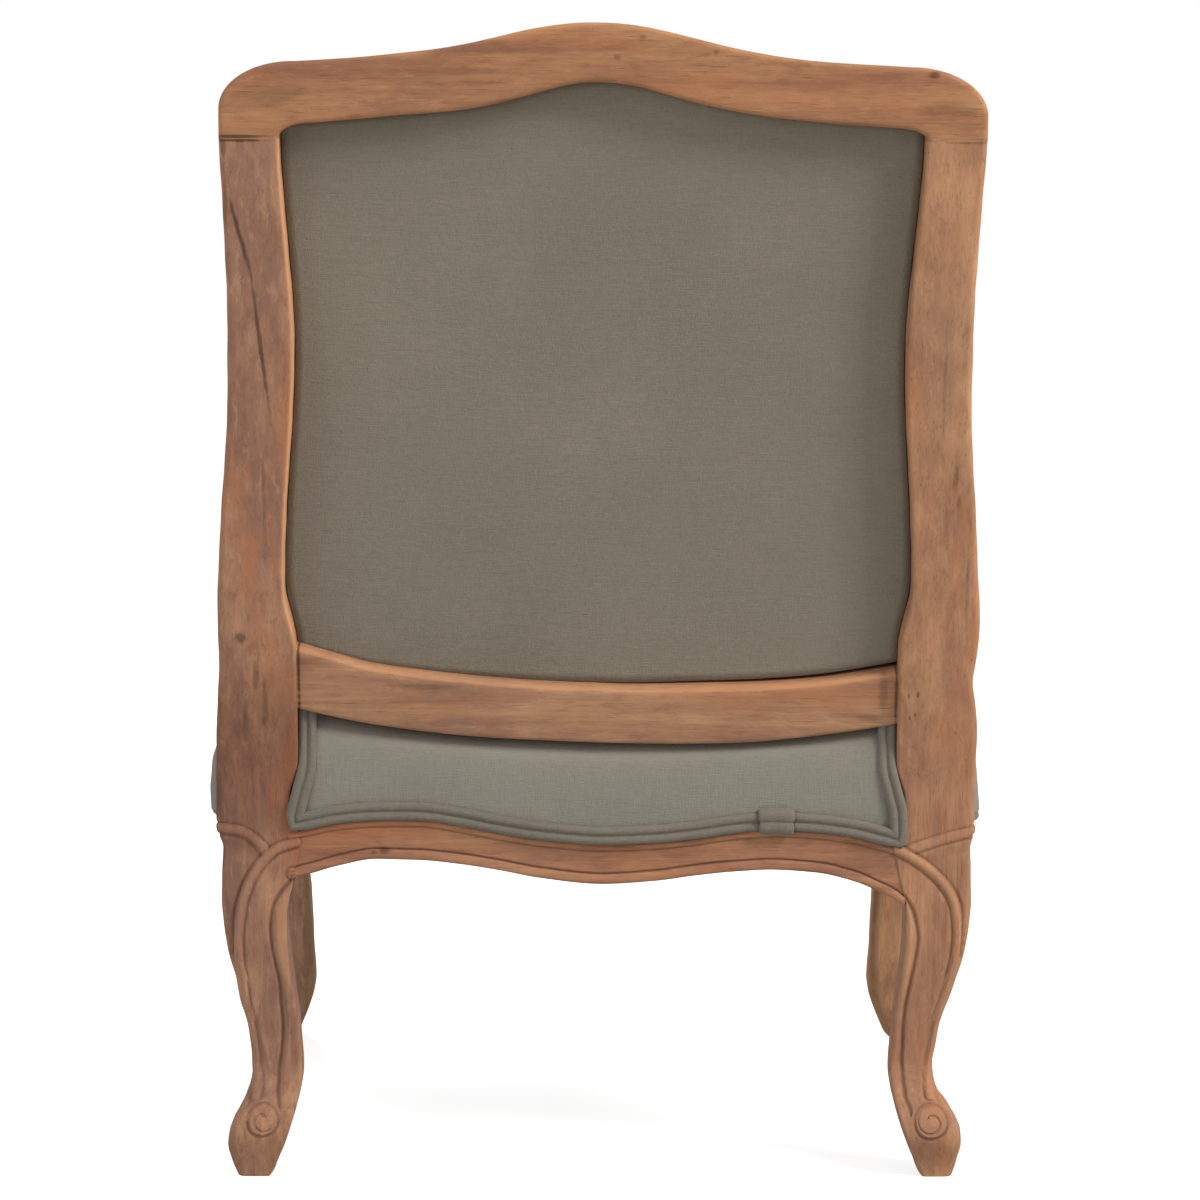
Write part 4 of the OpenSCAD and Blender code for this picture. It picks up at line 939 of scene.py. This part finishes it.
def inner_back():
    face = post_d + gap + pad_edge - 5
    rings = [back_ring(1, -pad_lap, post_d + gap), back_ring(1, -pad_lap - 1, post_d + pad_edge * 0.6)]
    rings += [back_ring(1, -pad_lap - 1 + pad_roll * (1 - math.cos(t)), face + (pad_roll - 4) * math.sin(t))
              for t in np.radians((25, 50, 75))]
    rings += [back_ring(s, -pad_lap + pad_roll - 5, face + 13 + (pad_crown - 8) * (1 - s * s)) for s in dome]
    rings = spread(np.array(rings), pad_rings)
    piece = build("inner_back_cushion", rings, sharp=60)
    level = np.broadcast_to(np.linspace(0, 1, pad_rings)[:, None], rings.shape[:2])
    settle(piece, (level - 0.12) / 0.1, cut((1 - level) * 2.4), 0.007, 2.5)
    dress(piece, "back_linen", "inner_back_cover", "back_foam")


inner_back()


# Sheets: the outer back inside the back frame, and the dust cover under the seat
def sheet(name, points, thick, offset, slot, node_name, wide, tall):
    """A thin cloth held all round. Its flat size, wide and tall in drawing millimetres, is not used."""
    piece = build(name, points, closed=False)
    solid = piece.modifiers.new("cloth", "SOLIDIFY")
    solid.thickness, solid.offset = thick, offset
    dress(piece, slot, node_name)
    wide, tall = wide * MM, tall * MM


def outer_back():
    a, b = np.meshgrid(np.linspace(-1, 1, 70), np.linspace(-1, 1, 70))
    edge = np.minimum(1 - np.abs(a), 1 - np.abs(b))
    x, v = back_xv(a, b, 2 * gap)
    d = panel_in - 1.2 * np.exp(-edge / 0.02) + 0.5 * np.sin(a * 9 + b * 2) * np.exp(-(1 - np.abs(b)) / 0.2)
    sheet("outer_back_sheet", on_back(x, d, v), panel_thick, -1, "back_linen", "outer_back_panel",
          x.max() - x.min(), v.max() - v.min())


def dust_cover():
    low, high = np.array(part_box("dust_cover")) * 1000
    front, rear = low[1] - SHIFT, high[1] - SHIFT
    y0, y1 = block - seat_depth + gap, -block - gap
    y = np.concatenate([np.linspace(front, y0, 8), np.linspace(y0 + 0.05, y1 - 0.05, 50), np.linspace(y1, rear, 8)])
    half = np.where(y <= y0, front_open - gap, np.where(y >= y1, open_seat - gap, half_at(y) - rail_th - 2 * gap))
    a, y = np.linspace(-1, 1, 60), y[:, None]
    x = half[:, None] * a
    sag = (1 - a ** 2) * (1 - ((y - (front + rear) / 2) / ((rear - front) / 2)) ** 2)
    z = high[2] - 0.6 - 3.5 * sag + 0.25 * np.sin(x * 0.05 + y * 0.02)
    sheet("dust_cover_sheet", np.stack(np.broadcast_arrays(x, y, z), -1), dust_thick, 0, "cambric", "dust_cover",
          2 * half.max(), rear - front)


outer_back()
dust_cover()


# Double piping
def lobes(r, grow=0.0, valley=0.0):
    """Section of double piping: two cords side by side under one cloth."""
    t = np.radians(np.linspace(-62, 150 - valley, 16))
    right = np.stack([r + (r + grow) * np.cos(t), 0.72 * r + (r + grow) * np.sin(t)], 1)
    section = np.concatenate([right, right[::-1] * (-1, 1)])
    section[:, 1] = np.maximum(section[:, 1], 0)
    return section


def unit(v):
    return v / np.maximum(np.linalg.norm(v, axis=1, keepdims=True), 1e-9)


def strip(name, p, n, section, joined=False, ease_ends=0.0, wobble=0.0, seed=1):
    """A section swept along the points p, upright along n. Corners are mitred on their inner side."""
    before = np.roll(p, 1, 0) if joined else np.concatenate([p[:1], p[:-1]])
    after = np.roll(p, -1, 0) if joined else np.concatenate([p[1:], p[-1:]])
    onward, past = unit(after - p), unit(p - before)
    along = unit(onward + past)
    across = unit(np.cross(n, along))
    turn = np.sum(across * (onward - past), axis=1)[:, None]
    mitre = 1 / np.maximum(0.55, np.sum(along * onward, axis=1))[:, None]
    mitre = np.where(turn * section[None, :, 0] > 0, mitre, 1)
    up = np.cross(along, across)
    k = np.ones(len(p))
    if wobble:
        rng = np.random.default_rng(seed)
        k += wobble * np.convolve(rng.normal(size=len(p) + 12), np.hanning(13) / 6, "valid")
    k[[0, -1]] -= ease_ends
    rings = (p[:, None] + across[:, None] * section[None, :, :1] * (k[:, None] * mitre)[:, :, None]
             + up[:, None] * section[None, :, 1:] * k[:, None, None])
    return build(name, rings, flip=True, joined=joined, sharp=70)


def piping(name, line, normal, node_name, section=None, **how):
    normals = np.broadcast_to(np.array(normal, float), line.shape)
    piece = strip(name, line, normals, lobes(bead_r) if section is None else section, **how)
    dress(piece, "piping_linen", node_name)


def on_band(x, y=-1):
    """Height of the piping's middle over the moulded bands."""
    return band_at(x, y) + gap + 2 * bead_r


def rear_piping_line(side):
    """The riser leans outward to its corner and turns along the rail to the join."""
    low = [on_band(side * x) for x in (run_x - 4, run_x)]
    corner_z = low[1] + (low[1] - low[0]) / 4 * (corner_x - run_x)
    top = float(bend_z + low_bottom(side * open_seat) * math.cos(rake) + side * LOW_SLOPE * open_seat + 1)
    up = [(open_seat - gap - 2 * bead_r, z) for z in np.linspace(top, 368, 6)]
    up += [(255.2, 358), (258.4, 346), (261.6, 334), (264, 324), (264.9, corner_z + 7)]
    end, count = (gap - wrap_x, 160) if side > 0 else (gap + wrap_x, 44)
    run = [(x, on_band(side * x)) for x in np.linspace(run_x, end, count)]
    x, z = np.concatenate([path(up, 40), [(corner_x, corner_z)], run]).T
    return np.stack([side * x, rear_face(z) + gap, z], -1)


def pipings():
    for side, tag in SIDE.items():
        piping("rear_piping_" + tag, rear_piping_line(side), (0, side, 0), "seat_piping_rear_" + tag,
               lobes(bead_r) * (1, side), wobble=0.02, seed=1 if side > 0 else 2)
    # round the front and both sides, with closer places where the ends dip and turn in behind the posts
    half = side_places(34, range(6, 91, 6), 1 - 2 * 104 / seat_depth)
    half += [(1, 1 - 2 * y / seat_depth) for y in range(100, 71, -4)]
    line = [seat_xy(a, b, 2 * gap) for a, b in [(-a, b) for a, b in half[:0:-1]] + half]
    line = np.array([(x, y, on_band(x, y)) for x, y in line])
    line[:, 2] -= np.where(line[:, 0] > 0, 5, 9) * rise((line[:, 1] + 200) / 110)
    line[:, 0] -= np.sign(line[:, 0]) * 15 * rise((line[:, 1] + 102) / 32)
    step = np.concatenate([line[1:], line[-1:]]) - np.concatenate([line[:1], line[:-1]])
    piping("front_piping", line, np.stack([step[:, 1], -step[:, 0], 0 * step[:, 0]], -1), "seat_piping_front",
           wobble=0.02, seed=3)
    x = np.linspace(-wrap_x - wrap_w / 2, -wrap_x + wrap_w / 2, 24)
    z = np.array([on_band(place) for place in x])
    piping("piping_wrap", np.stack([x, rear_face(z) + gap, z], -1), (0, 1, 0), "piping_join_wrap",
           lobes(bead_r + 0.5, 3, 8), ease_ends=0.1, wobble=0.1, seed=4)
    fine = loop_places(crest_fillet / open_waist, 2 * crest_fillet / (joint_v - low_rail_top), 60, 6)
    x, v = back_xv(fine[:, 0], fine[:, 1], -pad_lap - 1 - gap - 2 * bead_r)
    piping("inner_back_double_piping", on_back(x, post_d + gap, v), (0, -math.cos(rake), math.sin(rake)),
           "inner_back_piping", joined=True)


pipings()

# Materials of the pieces that the frame keeps
jute = linen("jute_webbing", (178, 152, 108), 14.0, 3.0, 1.4)


def steel():
    mat = start(bpy.data.materials.new("zinc_screw"))
    where = node("TexCoord").outputs["Object"]
    fine = noise(vec("MULTIPLY", where, (900, 900, 900)), 3)
    colour = ramp(fine, [(0.3, lin(130, 130, 134)), (0.7, lin(186, 186, 190))])
    finish_material(colour, spanned(fine, 0.3, 0.7, 0.3, 0.5), fine, 0.0001, Metallic=1.0)
    return mat


kept = {"corner_block": inner_wood, "dowels": inner_wood, "tack_strips": strip_wood, "screws": steel(),
        "webbing": jute, "burlap": jute}
for name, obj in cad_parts.items():
    for word, material in kept.items():
        if word in name:
            obj.data.materials.clear()
            obj.data.materials.append(material)


# Stage, light and camera. The camera is the one that the photo was solved for.
floor_half = 30.0
EYE, SENSOR, LENS = (0.03, 3.2235, 0.82), 36, 103.8
DOWN, TURNED, ROLLED = 5.886, 0.605, 0.2


def stage():
    mesh = bpy.data.meshes.new("floor")
    mesh.from_pydata([(x * floor_half, y * floor_half, 0) for x, y in ((-1, -1), (1, -1), (1, 1), (-1, 1))], [],
                     [(0, 1, 2, 3)])
    floor = bpy.data.objects.new("floor", mesh)
    bpy.context.scene.collection.objects.link(floor)
    mat = start(bpy.data.materials.new("floor_pale"))
    seen = node("LightPath").outputs
    matt = node("BsdfDiffuse", {"Color": (0.55, 0.55, 0.55, 1)})
    glow = node("Emission", {"Color": (1, 1, 1, 1), "Strength": 0.76})
    both = node("AddShader", {0: matt.outputs[0], 1: glow.outputs[0]})
    pick = node("MixShader", {0: seen["Is Camera Ray"], 1: matt.outputs[0], 2: both.outputs[0]})
    node("OutputMaterial", {"Surface": pick.outputs[0]})
    mesh.materials.append(mat)
    bpy.context.scene.world = start(bpy.data.worlds.new("room"))
    seen = node("LightPath").outputs
    clear = calc("MAXIMUM", calc("MAXIMUM", seen["Is Camera Ray"], seen["Is Glossy Ray"]),
                 seen["Is Transmission Ray"])
    room = node("Background", {"Color": (1, 1, 1, 1), "Strength": 0.5})
    back = node("Background", {"Color": (1, 1, 1, 1), "Strength": 1.0})
    both = node("MixShader", {0: clear, 1: room.outputs[0], 2: back.outputs[0]})
    node("OutputWorld", {"Surface": both.outputs[0]})


def lamp(name, place, aim, size, power, colour=(1, 1, 1)):
    data = bpy.data.lights.new(name, "AREA")
    data.shape, data.size, data.energy, data.color = "DISK", size, power, colour
    obj = bpy.data.objects.new(name, data)
    bpy.context.scene.collection.objects.link(obj)
    obj.location = place
    obj.rotation_euler = (Vector(aim) - Vector(place)).to_track_quat("-Z", "Y").to_euler()


stage()
lamp("key", (-2.6, 1.6, 2.6), (0, 0, 0.55), 1.4, 120, (1.0, 0.97, 0.93))
lamp("fill", (2.6, 2.2, 1.6), (0, 0, 0.5), 2.4, 28)
lamp("front", (1.2, -3.2, 2.6), (0, 0, 0.5), 2.4, 70)

camera = bpy.data.cameras.new("camera")
camera.sensor_width, camera.lens = SENSOR, LENS
eye = bpy.data.objects.new("camera", camera)
bpy.context.scene.collection.objects.link(eye)
eye.location = EYE
aimed = Euler((math.radians(90 - DOWN), 0, math.radians(180 - TURNED))).to_matrix()
eye.rotation_euler = (aimed @ Matrix.Rotation(math.radians(ROLLED), 3, "Z")).to_euler()
bpy.context.scene.camera = eye
bpy.context.scene.view_settings.view_transform = "Standard"
